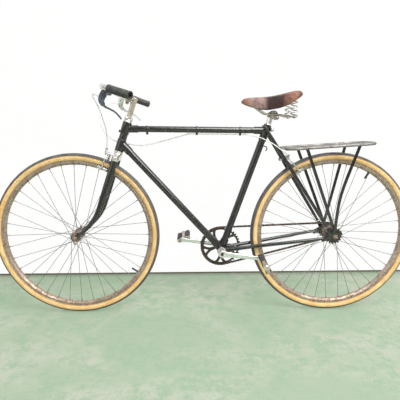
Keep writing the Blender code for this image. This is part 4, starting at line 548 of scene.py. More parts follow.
def leatherFinish(name):
    # the top colour is a painted highlight, laid on faces that look up
    look = {"colour": (0.055, 0.02, 0.016), "dark": (0.02, 0.009, 0.008),
        "rubbed": (0.3, 0.13, 0.078), "pale": (0.345, 0.215, 0.195), "top": (0.3, 0.22, 0.2)}
    finish, inputs, where = blank(name)
    wide = noise(where, 38.0, 7.0, 0.68, 0.3)
    fine = noise(where, 110.0, 8.0, 0.7)
    skin = blend(spread(wide, 0.36, 0.64), look["dark"], look["colour"])
    # orange nose and tail, a paler rubbed front half and a dark waist
    along = axes(where)["X"]
    nose = spread(along, -0.128, -0.158)
    tail = times(spread(along, -0.022, 0.006), spread(along, 0.028, 0.056, 1.0, 0.3))
    patchy = spread(wide, 0.34, 0.6, 0.4, 1.0)
    skin = blend(times(spread(along, -0.064, -0.088), patchy), skin, look["pale"])
    ends = number("MAXIMUM", nose, times(tail, 0.85))
    skin = blend(times(ends, patchy), skin, look["rubbed"])
    # painted highlight: faces that look up are lightened towards the pale grey top colour
    looksUp = axes(facing(finish.node_tree, "Normal"))["Z"]
    skin = blend(spread(looksUp, 0.55, 0.95, 0.0, 0.25), skin, look["top"])
    worn = placed(wear, where, 80.0, 0.4)["Mask"]
    join(blend(times(worn, 0.45), skin, look["pale"]), inputs["Base Color"])
    join(spread(fine, 0.3, 0.7, 0.46, 0.68), inputs["Roughness"])
    cells = addNode(finish.node_tree, "ShaderNodeTexVoronoi", {"Vector": where, "Scale": 900.0})
    cracks = addNode(finish.node_tree, "ShaderNodeTexVoronoi", {"Vector": moved(where,
        Scale=(1.0, 0.35, 1.0)), "Scale": 130.0}, feature="DISTANCE_TO_EDGE")
    height = plus(times(cells.outputs["Distance"], 0.25),
        times(spread(cracks.outputs["Distance"], 0.0, 0.06), 0.5))
    dent(inputs, plus(height, times(fine, 0.5)), 0.45, 0.0008)
    return finish


brownLeather = leatherFinish("wornBrownLeather")
print("stage: finishes made")


wheelLook = {"steps": 144, "spokes": 36, "spokeRadius": 0.001, "cross": 60.0, "ribs": 7,
    "section": 0.0175, "crown": 0.0169, "ring": 0.329, "rimOut": 0.3165, "rimIn": 0.2985,
    "bed": 0.3085, "half": 0.012}


def tyreProfile():
    rows = []
    reach, treadEdge, shoulder = math.radians(137), math.radians(58), math.radians(64)
    count = 56
    for i in range(count + 1):
        a = -reach + 2 * reach * i / count
        size = wheelLook["crown"] + (wheelLook["section"] - wheelLook["crown"]) * abs(math.sin(a))
        if abs(a) < treadEdge:
            groove = math.cos(a / treadEdge * math.pi * wheelLook["ribs"])
            size -= 0.0007 if groove < -0.35 else 0.0
        elif abs(a) < shoulder:
            size -= 0.0003
        rows.append((wheelLook["ring"] + size * math.cos(a), size * math.sin(a)))
    return rows


def rimProfile():
    o, i, w = wheelLook["rimOut"], wheelLook["rimIn"], wheelLook["half"]
    half = [(o - 0.003, w - 0.0034), (o, w - 0.0022), (o + 0.0003, w - 0.0011), (o, w),
        (o - 0.0018, w), (o - 0.0022, w - 0.0005), (o - 0.0088, w - 0.0004),
        (o - 0.0105, w - 0.0003), (o - 0.0125, w - 0.002), (i + 0.0018, w * 0.56),
        (i + 0.0003, w * 0.42), (i, w * 0.25)]
    return [(wheelLook["bed"], 0)] + bothEnds(half)


def makeWheel(tag, hub, body, flangeY, flangeR, barrelR, halfWide, threadR, valveAngle):
    bm = bmesh.new()
    addTurned(bm, hub, yAxis, tyreProfile(), wheelLook["steps"], True)
    settle(tag + "TyreRound", bm, body, tyreFinish(tag + "Tyre", hub, tyreLook),
        [tag + "_tyre"], 50)
    bm = bmesh.new()
    addTurned(bm, hub, yAxis, rimProfile(), wheelLook["steps"], True)
    settle(tag + "RimRound", bm, body, rimSteel, [tag + "_rim"])
    bm = bmesh.new()
    nipples = bmesh.new()
    for side in (-1, 1):
        for k in range(wheelLook["spokes"] // 2):
            turn = 2 * math.pi * (k + (0.5 if side > 0 else 0)) / (wheelLook["spokes"] // 2)
            lead = math.radians(wheelLook["cross"]) * (1 if k % 2 == 0 else -1)
            y = side * flangeY + (0.0013 if k % 2 == 0 else -0.0013)
            a = hub + upright(turn) * flangeR + yAxis * y
            b = hub + upright(turn + lead) * (wheelLook["rimIn"] + 0.001) + yAxis * (side * 0.002)
            pull = (b - a).normalized()
            addRod(bm, a, b - pull * 0.004, wheelLook["spokeRadius"], sides=8)
            outer = 1 if y * side > flangeY else -1
            headAt = a - yAxis * (side * outer * 0.0042)
            addRod(bm, a, headAt, 0.0011, sides=8)
            addRod(bm, headAt, headAt - yAxis * (side * outer * 0.0008), 0.002, 0.0013, sides=8)
            addPin(nipples, b, pull, -0.0135, -0.002, 0.0015, 0.0019, sides=8)
            addPin(nipples, b, pull, -0.0025, 0.0005, 0.003, sides=10)
    settle(tag + "Spokes", bm, body, spokeSteel, [tag + "_hub_and_spokes"])
    settle(tag + "SpokeNipples", nipples, body, rustySteel)
    bm = bmesh.new()
    f = 0.0024
    out = [(0.007, halfWide), (0.009, halfWide - 0.0006), (0.0105, halfWide - 0.004)]
    if threadR:
        out = [(0.01, halfWide), (threadR - 0.0008, halfWide - 0.0008)]
        for k in range(7):
            z = halfWide - 0.003 - k * 0.0019
            out += [(threadR, z), (threadR - 0.0007, z - 0.0009)]
    out += [(0.0125, flangeY + 0.0055), (flangeR - 0.0068, flangeY + f + 0.0006),
        (flangeR - 0.004, flangeY + f), (flangeR + 0.003, flangeY + f),
        (flangeR + 0.004, flangeY + f * 0.5), (flangeR + 0.004, flangeY - f * 0.5),
        (flangeR + 0.003, flangeY - f), (flangeR - 0.004, flangeY - f),
        (flangeR - 0.0065, flangeY - f - 0.001), (barrelR + 0.0008, flangeY - 0.008),
        (barrelR, flangeY - 0.0115), (barrelR - 0.0006, flangeY * 0.35),
        (barrelR - 0.0002, 0.0062), (barrelR + 0.0012, 0.0056), (barrelR + 0.0012, 0)]
    addTurned(bm, hub, yAxis, bothEnds([(0.0055, halfWide)] + out), 48, True)
    # sprung oil cap on the barrel
    cap = hub + up * (barrelR + 0.0008)
    addPin(bm, cap, up, 0, 0.0028, 0.003, 0.0024, 16, 0.0004)
    settle(tag + "HubShell", bm, body, rustySteel)
    bm = bmesh.new()
    way = upright(valveAngle)
    root = hub + way * wheelLook["rimIn"]
    addPin(bm, root, way, 0.003, -0.003, 0.0062, 0.005, 16, 0.0006)
    addPin(bm, root, way, 0, -0.019, 0.004, 0.0036, 20, 0.0004)
    addPin(bm, root, way, -0.0185, -0.029, 0.0046, 0.0032, 20, 0.0008)
    settle(tag + "Valve", bm, body, blackRubber)


spokeSteel = metal("dullSpokeWire", "rustySteel", colour=(0.3, 0.29, 0.28),
    second=(0.17, 0.16, 0.15), rust=0.26)
makeWheel("front", frontHub, "front_wheel", 0.034, 0.0185, 0.013, 0.0458, None, math.radians(-34))
makeWheel("rear", rearHub, "rear_wheel", 0.031, 0.0205, 0.015, 0.0535, 0.0165, math.radians(60.5))
print("stage: wheels done")


def addAxle(bm, hub, half, coneAt, rim, depth):
    # threaded bar with a bearing cone inside each end
    bore = 0.0046
    addPin(bm, hub, yAxis, -half, half, 0.0045, soft=0.0008)
    for side in (-1, 1):
        addTurned(bm, hub + yAxis * (side * coneAt), yAxis * -side,
            [(bore, 0), (0.008, 0), (0.008, rim), (0.0062, depth), (bore, depth)], 32, True)


def makeAxles():
    # fixed axles: wing nuts in front, plain nuts behind
    look = {"frontHalf": 0.0545, "rearHalf": 0.0645}
    bm = bmesh.new()
    out = look["frontHalf"]
    addAxle(bm, frontHub, out + 0.0178, 0.0497, 0.0026, 0.0036)
    for side in (-1, 1):
        seat = frontHub + yAxis * (side * (out + 0.0003))
        addTurned(bm, seat, yAxis * side, [(0.0046, 0), (0.0105, 0), (0.0105, 0.0012),
            (0.0088, 0.0016), (0.0082, 0.006), (0.0066, 0.01), (0.0046, 0.0104)], 32, True)
        for turn in (-1.36, -1.36 + math.pi):
            way = upright(turn)
            rows = []
            for along, lift, wide, thick in ((0.004, 0.006, 0.0045, 0.0026),
                    (0.01, 0.0082, 0.0058, 0.002), (0.017, 0.0115, 0.006, 0.0017),
                    (0.0225, 0.0145, 0.0048, 0.0015), (0.0238, 0.0152, 0.0022, 0.001)):
                p = seat + way * along + yAxis * (side * lift)
                rows.append((*p, wide, thick))
            addBand(bm, rows, way.cross(yAxis), 3, 16, 0.8)
    settle("frontAxleAndWingNuts", bm, "steering", rustySteel, ["front_axle"])
    bm = bmesh.new()
    out = look["rearHalf"]
    addAxle(bm, rearHub, out + 0.0128, 0.0597, 0.004, 0.0056)
    for side in (-1, 1):
        seat = rearHub + yAxis * (side * (out + 0.0003))
        addPin(bm, seat, yAxis * side, 0, 0.0014, 0.0104, sides=32, soft=0.0003)
        addPin(bm, seat, yAxis * side, 0.0014, 0.0082, 0.0092, sides=6, soft=0.0007)
    settle("rearAxleAndNuts", bm, "frame", rustySteel, ["rear_axle"])


makeAxles()


def addSleeve(bm, start, end, radius, wall, tip=0.018, turn=0.0):
    # lug sleeve with two long points, and its rim rolled over
    length = (end - start).length
    before = set(bm.verts)
    bmesh.ops.create_cone(bm, cap_ends=False, segments=48, radius1=radius, radius2=radius,
        depth=length, matrix=Matrix.Translation((0, 0, length / 2)))
    ring = freshVerts(bm, before)
    far = [v for v in ring if v.co.z > length / 2]
    for v in far:
        angle = math.atan2(v.co.y, v.co.x) + turn
        v.co.z += tip * max(0, (abs(math.cos(angle)) - 0.5) / 0.5) ** 1.8
    edges = list({e for v in far for e in v.link_edges if e.is_boundary})
    for inward, ahead in ((-0.0004, 0.0004), (wall * -0.55, 0.0003)):
        made = bmesh.ops.extrude_edge_only(bm, edges=edges)["geom"]
        edges = openEdges(made)
        for v in onlyVerts(made):
            shrink = 1 + inward / math.hypot(v.co.x, v.co.y)
            v.co = Vector((v.co.x * shrink, v.co.y * shrink, v.co.z + ahead))
    bmesh.ops.transform(bm, matrix=aimed(start, end - start), verts=freshVerts(bm, before))


def addStay(bm, rows, steps, radius, sides):
    # round bar through rows of x, y, z, share of its radius
    rows = smoothRows(rows, steps)
    addSweep(bm, [Vector(r[:3]) for r in rows], radius, sides, [r[3] for r in rows])


def makeFrame():
    look = {"topR": 0.0127, "downR": 0.0143, "seatR": 0.0143, "headR": 0.0163, "wall": 0.0022,
        "reach": 0.034}
    topLug = look["topR"] + look["wall"] + 0.0003
    downLug, seatLug = look["downR"] + look["wall"] + 0.0003, look["seatR"] + look["wall"]
    topWay, downWay = (topRear - topFront).normalized(), (bracket - downFront).normalized()
    bm = bmesh.new()
    collar = look["headR"] + 0.002
    profile = [(0.015, 0), (collar - 0.0006, 0), (collar, 0.0008), (collar, 0.0475),
        (collar - 0.0005, 0.0488), (look["headR"], 0.05), (look["headR"], 0.0722),
        (collar - 0.0005, 0.0734), (collar, 0.0747), (collar, 0.1212), (collar - 0.0006, 0.122),
        (0.015, 0.122)]
    addTurned(bm, headFoot, headDir, profile, 64, True)
    addSleeve(bm, topFront, topFront + topWay * (look["headR"] + look["reach"]), topLug,
        look["wall"])
    addSleeve(bm, downFront, downFront + downWay * (look["headR"] + look["reach"]), downLug,
        look["wall"])
    boss = headFoot + headDir * 0.078
    addPin(bm, boss, headFront, 0, 0.0205, 0.0044, 0.004, 20, 0.0006)
    addPin(bm, boss, headFront, 0.02, 0.0233, 0.0056, sides=6, soft=0.0005)
    settle("headTubeAndLugs", bm, "frame", enamel, ["head_tube"])

    bm = bmesh.new()
    addRod(bm, topFront + topWay * 0.01, topRear - topWay * 0.01, look["topR"], sides=48)
    for x in (-0.775, -0.573, -0.396):
        share = (x + shift.x - topFront.x) / (topRear.x - topFront.x)
        middle = topFront.lerp(topRear, share)
        addTurned(bm, middle, topWay, bothEnds([(look["topR"] - 0.0004, -0.0044),
            (look["topR"] + 0.0011, -0.0042), (look["topR"] + 0.0015, -0.003)]), 48, True)
        low = middle - up * (look["topR"] + 0.0046)
        addTurned(bm, low, topWay, bothEnds([(0.0033, -0.0044), (0.0041, -0.0042),
            (0.0046, -0.0036)]), 24, True)
        addPin(bm, low + up * 0.0015, yAxis, -0.0062, 0.0062, 0.0019, sides=12, soft=0.0003)
    settle("topTubeAndClips", bm, "frame", enamel, ["top_tube"])

    bm = bmesh.new()
    addRod(bm, downFront + downWay * 0.01, bracket - downWay * 0.012, look["downR"], sides=48)
    settle("downTube", bm, "frame", enamel, ["down_tube"])

    bm = bmesh.new()
    addTurned(bm, bracket + seatDir * 0.012, seatDir, [(0.0131, 0), (look["seatR"], 0),
        (look["seatR"], 0.5435), (look["seatR"] + 0.0022, 0.544), (look["seatR"] + 0.0022, 0.5448),
        (look["seatR"] + 0.0014, 0.5452), (0.0131, 0.5452)], 64, True)
    addSleeve(bm, seatTop + seatDir * 0.0005, seatTop - seatDir * 0.046, seatLug, look["wall"],
        turn=math.radians(90))
    addSleeve(bm, topRear, topRear - topWay * (look["seatR"] + look["reach"]), topLug,
        look["wall"])
    back = Vector((seatDir.z, 0, -seatDir.x))
    ear = seatTop - seatDir * 0.012 + back * (look["seatR"] + 0.007)
    for side in (-1, 1):
        addPin(bm, ear, yAxis * side, 0.0018, 0.014, 0.0074, sides=32, soft=0.0012)
        base = ear - back * 0.006 + yAxis * (side * 0.0078)
        addBand(bm, [(*(base - back * 0.003), 0.006, 0.007),
            (*(base + back * 0.004), 0.006, 0.0064)], yAxis, 2)
    settle("seatTubeAndLug", bm, "frame", enamel, ["seat_tube"])
    bm = bmesh.new()
    addPin(bm, ear, yAxis, -0.0175, 0.02, 0.003, sides=20, soft=0.0005)
    addPin(bm, ear, yAxis, -0.0198, -0.015, 0.0056, 0.005, 24, 0.0012)
    addPin(bm, ear, yAxis, 0.0142, 0.0182, 0.0052, sides=6, soft=0.0005)
    settle("seatBinderBolt", bm, "frame", chrome)
    bm = bmesh.new()
    hook = bracket + seatDir * (seatLength - 0.085)
    rows = [hook + back * (look["seatR"] + out) + seatDir * rise for out, rise in ((-0.002, 0),
        (0.008, 0.0025), (0.015, -0.0015), (0.0175, -0.008), (0.0145, -0.015))]
    addSweep(bm, smoothPath(rows, 5), 0.0022, 14)
    settle("seatTubeHook", bm, "frame", enamel)

    bm = bmesh.new()
    r, half = 0.0195, 0.034
    addTurned(bm, bracket, yAxis, bothEnds([(0.015, -half + 0.001), (0.016, -half),
        (r - 0.0006, -half), (r, -half + 0.0008)]), 64, True)
    addSleeve(bm, bracket + seatDir * 0.01, bracket + seatDir * (r + 0.027), downLug, look["wall"])
    addSleeve(bm, bracket - downWay * 0.01, bracket - downWay * (r + 0.027), downLug, look["wall"])
    stayWay = (rearHub - bracket).normalized()
    for side in (-1, 1):
        a = bracket + stayWay * 0.014 + yAxis * (side * 0.0232)
        b = bracket + stayWay * 0.043 + yAxis * (side * 0.0247)
        addSleeve(bm, a, b, 0.011, 0.0022, 0.004)
    settle("bracketShell", bm, "frame", enamel, ["bracket_shell"])

    # rings and lock nut of the bottom bracket
    bm = bmesh.new()
    for side in (-1, 1):
        addTurned(bm, bracket + yAxis * (side * half), yAxis * side,
            [(0.0084, 0), (0.0184, 0), (0.0184, 0.0012), (0.017, 0.0018), (0.012, 0.0022),
            (0.0084, 0.003)], 48, True)
    settle("bracketCups", bm, "frame", chrome)

    plate = [(-0.06, -0.0135), (-0.05, -0.001), (-0.03, 0.01), (-0.04, 0.033), (-0.034, 0.0385),
        (-0.028, 0.04), (-0.0205, 0.031), (-0.015, 0.03), (-0.011, 0.0335), (-0.006, 0.0345),
        (-0.001, 0.0335), (0.0025, 0.029), (0.005, 0.022), (0.01, 0.018), (0.02, 0.022),
        (0.026, 0.0205), (0.029, 0.016), (0.0275, 0.0095), (0.024, 0.004), (0.012, -0.006),
        (0.004, -0.015), (-0.014, -0.016), (-0.03, -0.015), (-0.052, -0.021)]
    chainRows = ((0.026, 0.0236, 1.0), (0.09, 0.028, 0.94), (0.14, 0.031, 0.92),
        (0.22, 0.0405, 0.88), (0.3, 0.0505, 0.85), (0.38, 0.0583, 0.78), (0.424, 0.0618, 0.7))
    bm = bmesh.new()
    for side in (-1, 1):
        addStay(bm, [(*(bracket + stayWay * a + yAxis * (side * o)), s) for a, o, s in chainRows],
            4, 0.0085, 24)
        addPlate(bm, rearHub + yAxis * (side * dropoutSide), [plate], 0.00225, 0.0005)
    bridge = bracket + stayWay * 0.062
    addPin(bm, bridge, yAxis, -0.026, 0.026, 0.0065)
    settle("chainstaysAndDropouts", bm, "frame", enamel, ["chainstays"])

    bm = bmesh.new()
    high = topRear + Vector((-0.0015, 0, 0.006))
    seatRows = ((-0.004, 0.0222, 0.84), (0, 0.0225, 0.89), (0.3, 0.033, 1.0), (0.7, 0.05, 1.0),
        (0.9, 0.057, 0.9), (0.985, 0.06, 0.8))
    for side in (-1, 1):
        addStay(bm, [(*(high.lerp(stayFoot, t) + yAxis * (side * o)), s) for t, o, s in seatRows],
            5, 0.007, 20)
        a = high + yAxis * (side * 0.0222)
        addTurned(bm, a - yAxis * (side * 0.005), yAxis * side, [(0, 0), (0.0072, 0),
            (0.0074, 0.0062), (0.005, 0.0088), (0, 0.0096)], 32)
    addPin(bm, brakeBridge, yAxis, -0.034, 0.034, 0.006)
    for side in (-1, 1):
        addPin(bm, brakeBridge, yAxis * side, 0.026, 0.0345, 0.0068, 0.0082)
    settle("seatstaysAndBridge", bm, "frame", enamel, ["seatstays"])

    bm = bmesh.new()
    addTurned(bm, seatTop - seatDir * 0.11, seatDir, [(0, 0), (0.0126, 0), (0.0128, 0.0006),
        (0.0128, 0.115), (0.0122, 0.1162), (0.0124, 0.1168), (0.0122, 0.118), (0.012, 0.1598),
        (0, 0.16)], 48)
    settle("seatPostTurned", bm, "frame", chrome, ["seat_post"])


makeFrame()
print("stage: frame done")


def makeHeadset():
    rows = {"headset_lower_cup": ("frame", headFoot - headDir * 0.0003,
        [(0.0155, 0), (0.0188, 0), (0.019, -0.0004), (0.019, -0.0026), (0.0184, -0.0036),
        (0.0178, -0.0066), (0.0172, -0.0075), (0.0155, -0.0075)]),
        "headset_crown_race": ("steering", headFoot - headDir * 0.0003,
        [(0.0144, -0.008), (0.0172, -0.008), (0.0178, -0.0086), (0.0192, -0.0102),
        (0.0195, -0.011), (0.0195, -0.0126), (0.0191, -0.013), (0.0144, -0.013)]),
        "headset_upper_cup": ("frame", headTop + headDir * 0.0003,
        [(0.0155, 0), (0.0188, 0), (0.019, 0.0004), (0.019, 0.0026), (0.0184, 0.0036),
        (0.0176, 0.0062), (0.017, 0.007), (0.0155, 0.007)])}
    for node, (body, point, profile) in rows.items():
        bm = bmesh.new()
        addTurned(bm, point, headDir, profile, 64, True)
        settle(node.replace("headset_", "headset-"), bm, body, chrome, [node])
    bm = bmesh.new()
    base = headTop + headDir * 0.0003
    addTurned(bm, base, headDir, [(0.0146, 0.0075), (0.0176, 0.0075), (0.018, 0.0082),
        (0.018, 0.0118), (0.0174, 0.0126), (0.0146, 0.013)], 48, True)
    addPin(bm, base, headDir, 0.013, 0.0218, 0.0176, sides=8, soft=0.001)
    settle("headset-locknut", bm, "steering", chrome, ["headset_locknut"])


def makeFork():
    # plated crown, and two oval blades that sweep forward to the hub
    look = {"bladeRows": ((0.035, 0.005, 0.006), (0.1, 0.0062, 0.0078), (0.2, 0.0068, 0.0095),
        (0.3, 0.0074, 0.011), (0.45, 0.008, 0.0125), (0.7, 0.0085, 0.0138), (0.955, 0.0085, 0.014),
        (0.995, 0.0085, 0.014))}
    bm = bmesh.new()
    rows = ((0.0004, 0.0225, 0.015), (-0.0006, 0.0245, 0.0163), (-0.0045, 0.0352, 0.017),
        (-0.008, 0.0446, 0.0175), (-0.011, 0.0463, 0.0175), (-0.0204, 0.0468, 0.0175),
        (-0.0217, 0.0462, 0.017), (-0.022, 0.045, 0.016))
    addLoft(bm, [section(crownTop + headDir * d, headDir, yAxis, w, t) for d, w, t in rows], 48,
        0.82)
    for side in (-1, 1):
        mouth = crownLow + yAxis * (side * bladeSide)
        addLoft(bm, [section(mouth - headDir * d, headDir, yAxis, w,
            t) for d, w, t in ((-0.004, 0.0105, 0.0158), (0.0006, 0.0105, 0.0158),
            (0.004, 0.0098, 0.0152), (0.0048, 0.009, 0.0144))], 32)
    addRod(bm, crownTop - headDir * 0.01, headTop + headDir * 0.0214, 0.0137, sides=40)
    settle("forkCrownPlated", bm, "steering", chrome, ["fork_crown"])
    endPlate = [(-0.012, -0.01), (-0.004, -0.0122), (0.004, -0.012), (0.01, -0.0085),
        (0.013, -0.002), (0.017, 0.008), (0.022, 0.018), (0.018, 0.0235), (0.014, 0.024),
        (0.004, 0.012), (-0.01, 0.009), (-0.0138, 0.004), (-0.014, -0.003)]
    for side, name, node in ((-1, "forkBladeLeft", "fork_blade_left"),
            (1, "forkBladeRight", "fork_blade_right")):
        bm = bmesh.new()
        bladeTop = crownLow + headDir * 0.0117
        height = (bladeTop - forkFoot).dot(headDir)
        places = []
        for along, across, deep in smoothRows(look["bladeRows"], 5):
            rise = height * along
            share = max(0, 1 - rise / bendRise)
            out = bladeSide + (forkEndSide - bladeSide) * max(0, 1 - along / 0.955)
            centre = forkFoot + headDir * rise + headFront * (rake * share ** 2)
            centre += yAxis * (side * out)
            tangent = headDir - headFront * (2 * rake / bendRise * share)
            places.append(section(centre, tangent, yAxis, across, deep))
        addLoft(bm, places, 28)
        addPlate(bm, frontHub + yAxis * (side * forkEndSide), [endPlate], 0.00225, 0.0005)
        settle(name, bm, "steering", enamel, [node])


makeHeadset()
makeFork()
print("stage: head set and fork done")


quillTop = headBase + headDir * (headStart + headLength + 0.1)
clamp = quillTop - headDir * 0.006 + headFront * 0.024
barRoute = ((-0.868, 0.075, 0.573), (-0.9, 0.15, 0.59), (-0.9095, 0.186, 0.5925),
    (-0.901, 0.207, 0.5895), (-0.885, 0.2205, 0.584))
barEnd = at(-0.797, 0.2855, 0.5545)


def makeCockpit():
    look = {"bar": 0.0111, "grip": 0.0148}
    half = [clamp, clamp + yAxis * 0.026] + [at(*p) for p in barRoute]
    corners = [clamp] + smoothPath(half[1:], 6) + [barEnd]
    shortWay = (corners[-1] - corners[-2]).normalized()
    corners[-1] = barEnd - shortWay * 0.011
    bm = bmesh.new()
    addSweep(bm, [mirrored(p) for p in reversed(corners[1:])] + corners, look["bar"] - 0.0002, 28)
    settle("handlebarTube", bm, "steering", chrome, ["handlebar"])

    bm = bmesh.new()
    addTurned(bm, headTop - headDir * 0.002, headDir, [(0, 0), (0.0111, 0), (0.0111, 0.0925),
        (0.0122, 0.0965), (0.0126, 0.101), (0.0112, 0.103), (0, 0.1032)], 40)
    addTurned(bm, clamp, yAxis, bothEnds([(0.0112, -0.019), (0.015, -0.019), (0.0164, -0.0182),
        (0.0174, -0.015), (0.0178, -0.008)]), 48, True)
    a, b = quillTop - headDir * 0.01, clamp - headDir * 0.003
    addBand(bm, [(*a, 0.0112, 0.013), (*(a.lerp(b, 0.5)), 0.0125, 0.0122), (*b, 0.013, 0.0135)],
        yAxis, 4, 24, 0.8)
    pinch = clamp - headDir * 0.0205
    for side in (-1, 1):
        addPin(bm, pinch, yAxis * side, 0.0012, 0.0125, 0.0072, 0.0066, 28, 0.001)
    settle("stemForged", bm, "steering", stemChrome, ["stem"])
    bm = bmesh.new()
    addPin(bm, quillTop, headDir, 0, 0.0016, 0.009, sides=28, soft=0.0004)
    addPin(bm, quillTop, headDir, 0.0016, 0.0088, 0.0066, sides=6, soft=0.0008)
    addPin(bm, pinch, yAxis, -0.015, 0.0165, 0.0031, sides=16, soft=0.0004)
    addPin(bm, pinch, yAxis, -0.0162, -0.0125, 0.0056, sides=6, soft=0.0006)
    addPin(bm, pinch, yAxis, 0.0125, 0.0155, 0.0054, sides=6, soft=0.0006)
    settle("stemBolts", bm, "steering", rustySteel)

    for side, name, n, lift in ((1, "grip_right", 0.1, 0.002), (-1, "grip_left", 0.107, -0.001)):
        end, aim = barEnd + shortWay * lift, shortWay
        if side < 0:
            end, aim = mirrored(end), mirrored(aim)
        bm = bmesh.new()
        g = look["grip"]
        profile = [(0.0113, 0), (g - 0.0012, 0), (g - 0.0002, 0.001), (g, 0.003), (g, 0.005),
            (g - 0.0011, 0.0062)]
        for k in range(18):  # close rings, worn low
            z = 0.0075 + k * 0.005
            profile += [(g - 0.0013, z), (g - 0.0008, z + 0.001), (g - 0.0007, z + 0.003),
                (g - 0.0013, z + 0.0042)]
        profile += [(g - 0.001, n - 0.0055), (g, n - 0.0045), (g, n - 0.0015),
            (g - 0.0006, n - 0.0004), (g - 0.0018, n), (0.0116, n), (0.0104, n - 0.001),
            (0.01, n - 0.01), (0.0113, n - 0.011)]
        addTurned(bm, end - aim * n, aim, profile, 48, True)
        settle("ringed-" + name, bm, "steering", gripRubber, [name])
        bm = bmesh.new()
        addTurned(bm, end - aim * 0.0105, aim, [(0, 0), (0.0098, 0), (0.0098, 0.008),
            (0.0092, 0.008), (0.009, 0.0005), (0, 0.0005)], 32)
        settle("openBarEnd-" + name, bm, "steering", blackRubber)
    return corners


def makeLevers(corners):
    # flat pressed blade with folded sides, hung from a band on the bar
    start, end = min(zip(corners, corners[1:]), key=lambda s: abs((s[0] + s[1]).y / 2 - 0.135))
    band = (start + end) / 2
    way = (end - start).normalized()
    under = band - up * 0.0156
    rows = [(*under, 0.008, 0.0062),
        (*(under + way * 0.022 - Vector((0.004, 0, 0.006))), 0.0085, 0.0062)]
    for x, y, z, w, t in ((-0.9165, 0.193, 0.553, 0.0092, 0.0044),
            (-0.911, 0.206, 0.538, 0.0082, 0.0028), (-0.895, 0.222, 0.522, 0.0062, 0.0019),
            (-0.875, 0.236, 0.512, 0.005, 0.0016), (-0.856, 0.25, 0.502, 0.0046, 0.0016),
            (-0.84, 0.262, 0.487, 0.0046, 0.0016), (-0.833, 0.268, 0.479, 0.004, 0.0014)):
        rows.append((*at(x, y, z), w, t))
    for side, name, finish, slotName in ((-1, "brake_lever_left", leverEnamel, "lever_enamel"),
            (1, "brake_lever_right", alloy, "alloy")):
        turned = rows if side > 0 else [(r[0], -r[1], r[2], r[3], r[4]) for r in rows]
        middle, aim = (band, way) if side > 0 else (mirrored(band), mirrored(way))
        bm = bmesh.new()
        addBand(bm, turned, (0.6, 0.8 * side, 0), 4, 20, 0.6)
        head = [(*at(x, y * side, z), w, t) for x, y, z, w, t in (
            (-0.9, 0.186, 0.579, 0.01, 0.0085), (-0.9045, 0.188, 0.569, 0.0124, 0.0085),
            (-0.9095, 0.192, 0.558, 0.0128, 0.0078), (-0.912, 0.197, 0.547, 0.0118, 0.0062),
            (-0.91, 0.203, 0.5375, 0.0096, 0.0046), (-0.903, 0.212, 0.528, 0.0072, 0.003))]
        addBand(bm, head, (0.92, 0.39 * side, 0), 4, 24, 0.5)
        addTurned(bm, middle, aim, bothEnds([(0.0112, -0.007), (0.014, -0.007), (0.0147, -0.006),
            (0.0149, -0.004)]), 48, True)
        pivot = Vector(turned[1][:3])
        addPin(bm, pivot, up, -0.0085, 0.006, 0.0034, sides=20, soft=0.0006)
        settle("pressed-" + name, bm, "steering", finish, [name])
        bm = bmesh.new()
        addPin(bm, pivot, up, -0.01, -0.008, 0.0046, sides=6, soft=0.0005)
        bolt = middle - up * 0.015
        across = aim.cross(up).normalized()
        addPin(bm, bolt, across, -0.009, 0.009, 0.0026, sides=16, soft=0.0004)
        settle("leverBolts-" + name, bm, "steering", chrome)


stemChrome = metal("rustBloomedStem", "chrome", rust=0.42, colour=(0.8, 0.74, 0.66),
    second=(0.62, 0.54, 0.46))
barCorners = makeCockpit()
makeLevers(barCorners)
print("stage: stem, bar and levers done")


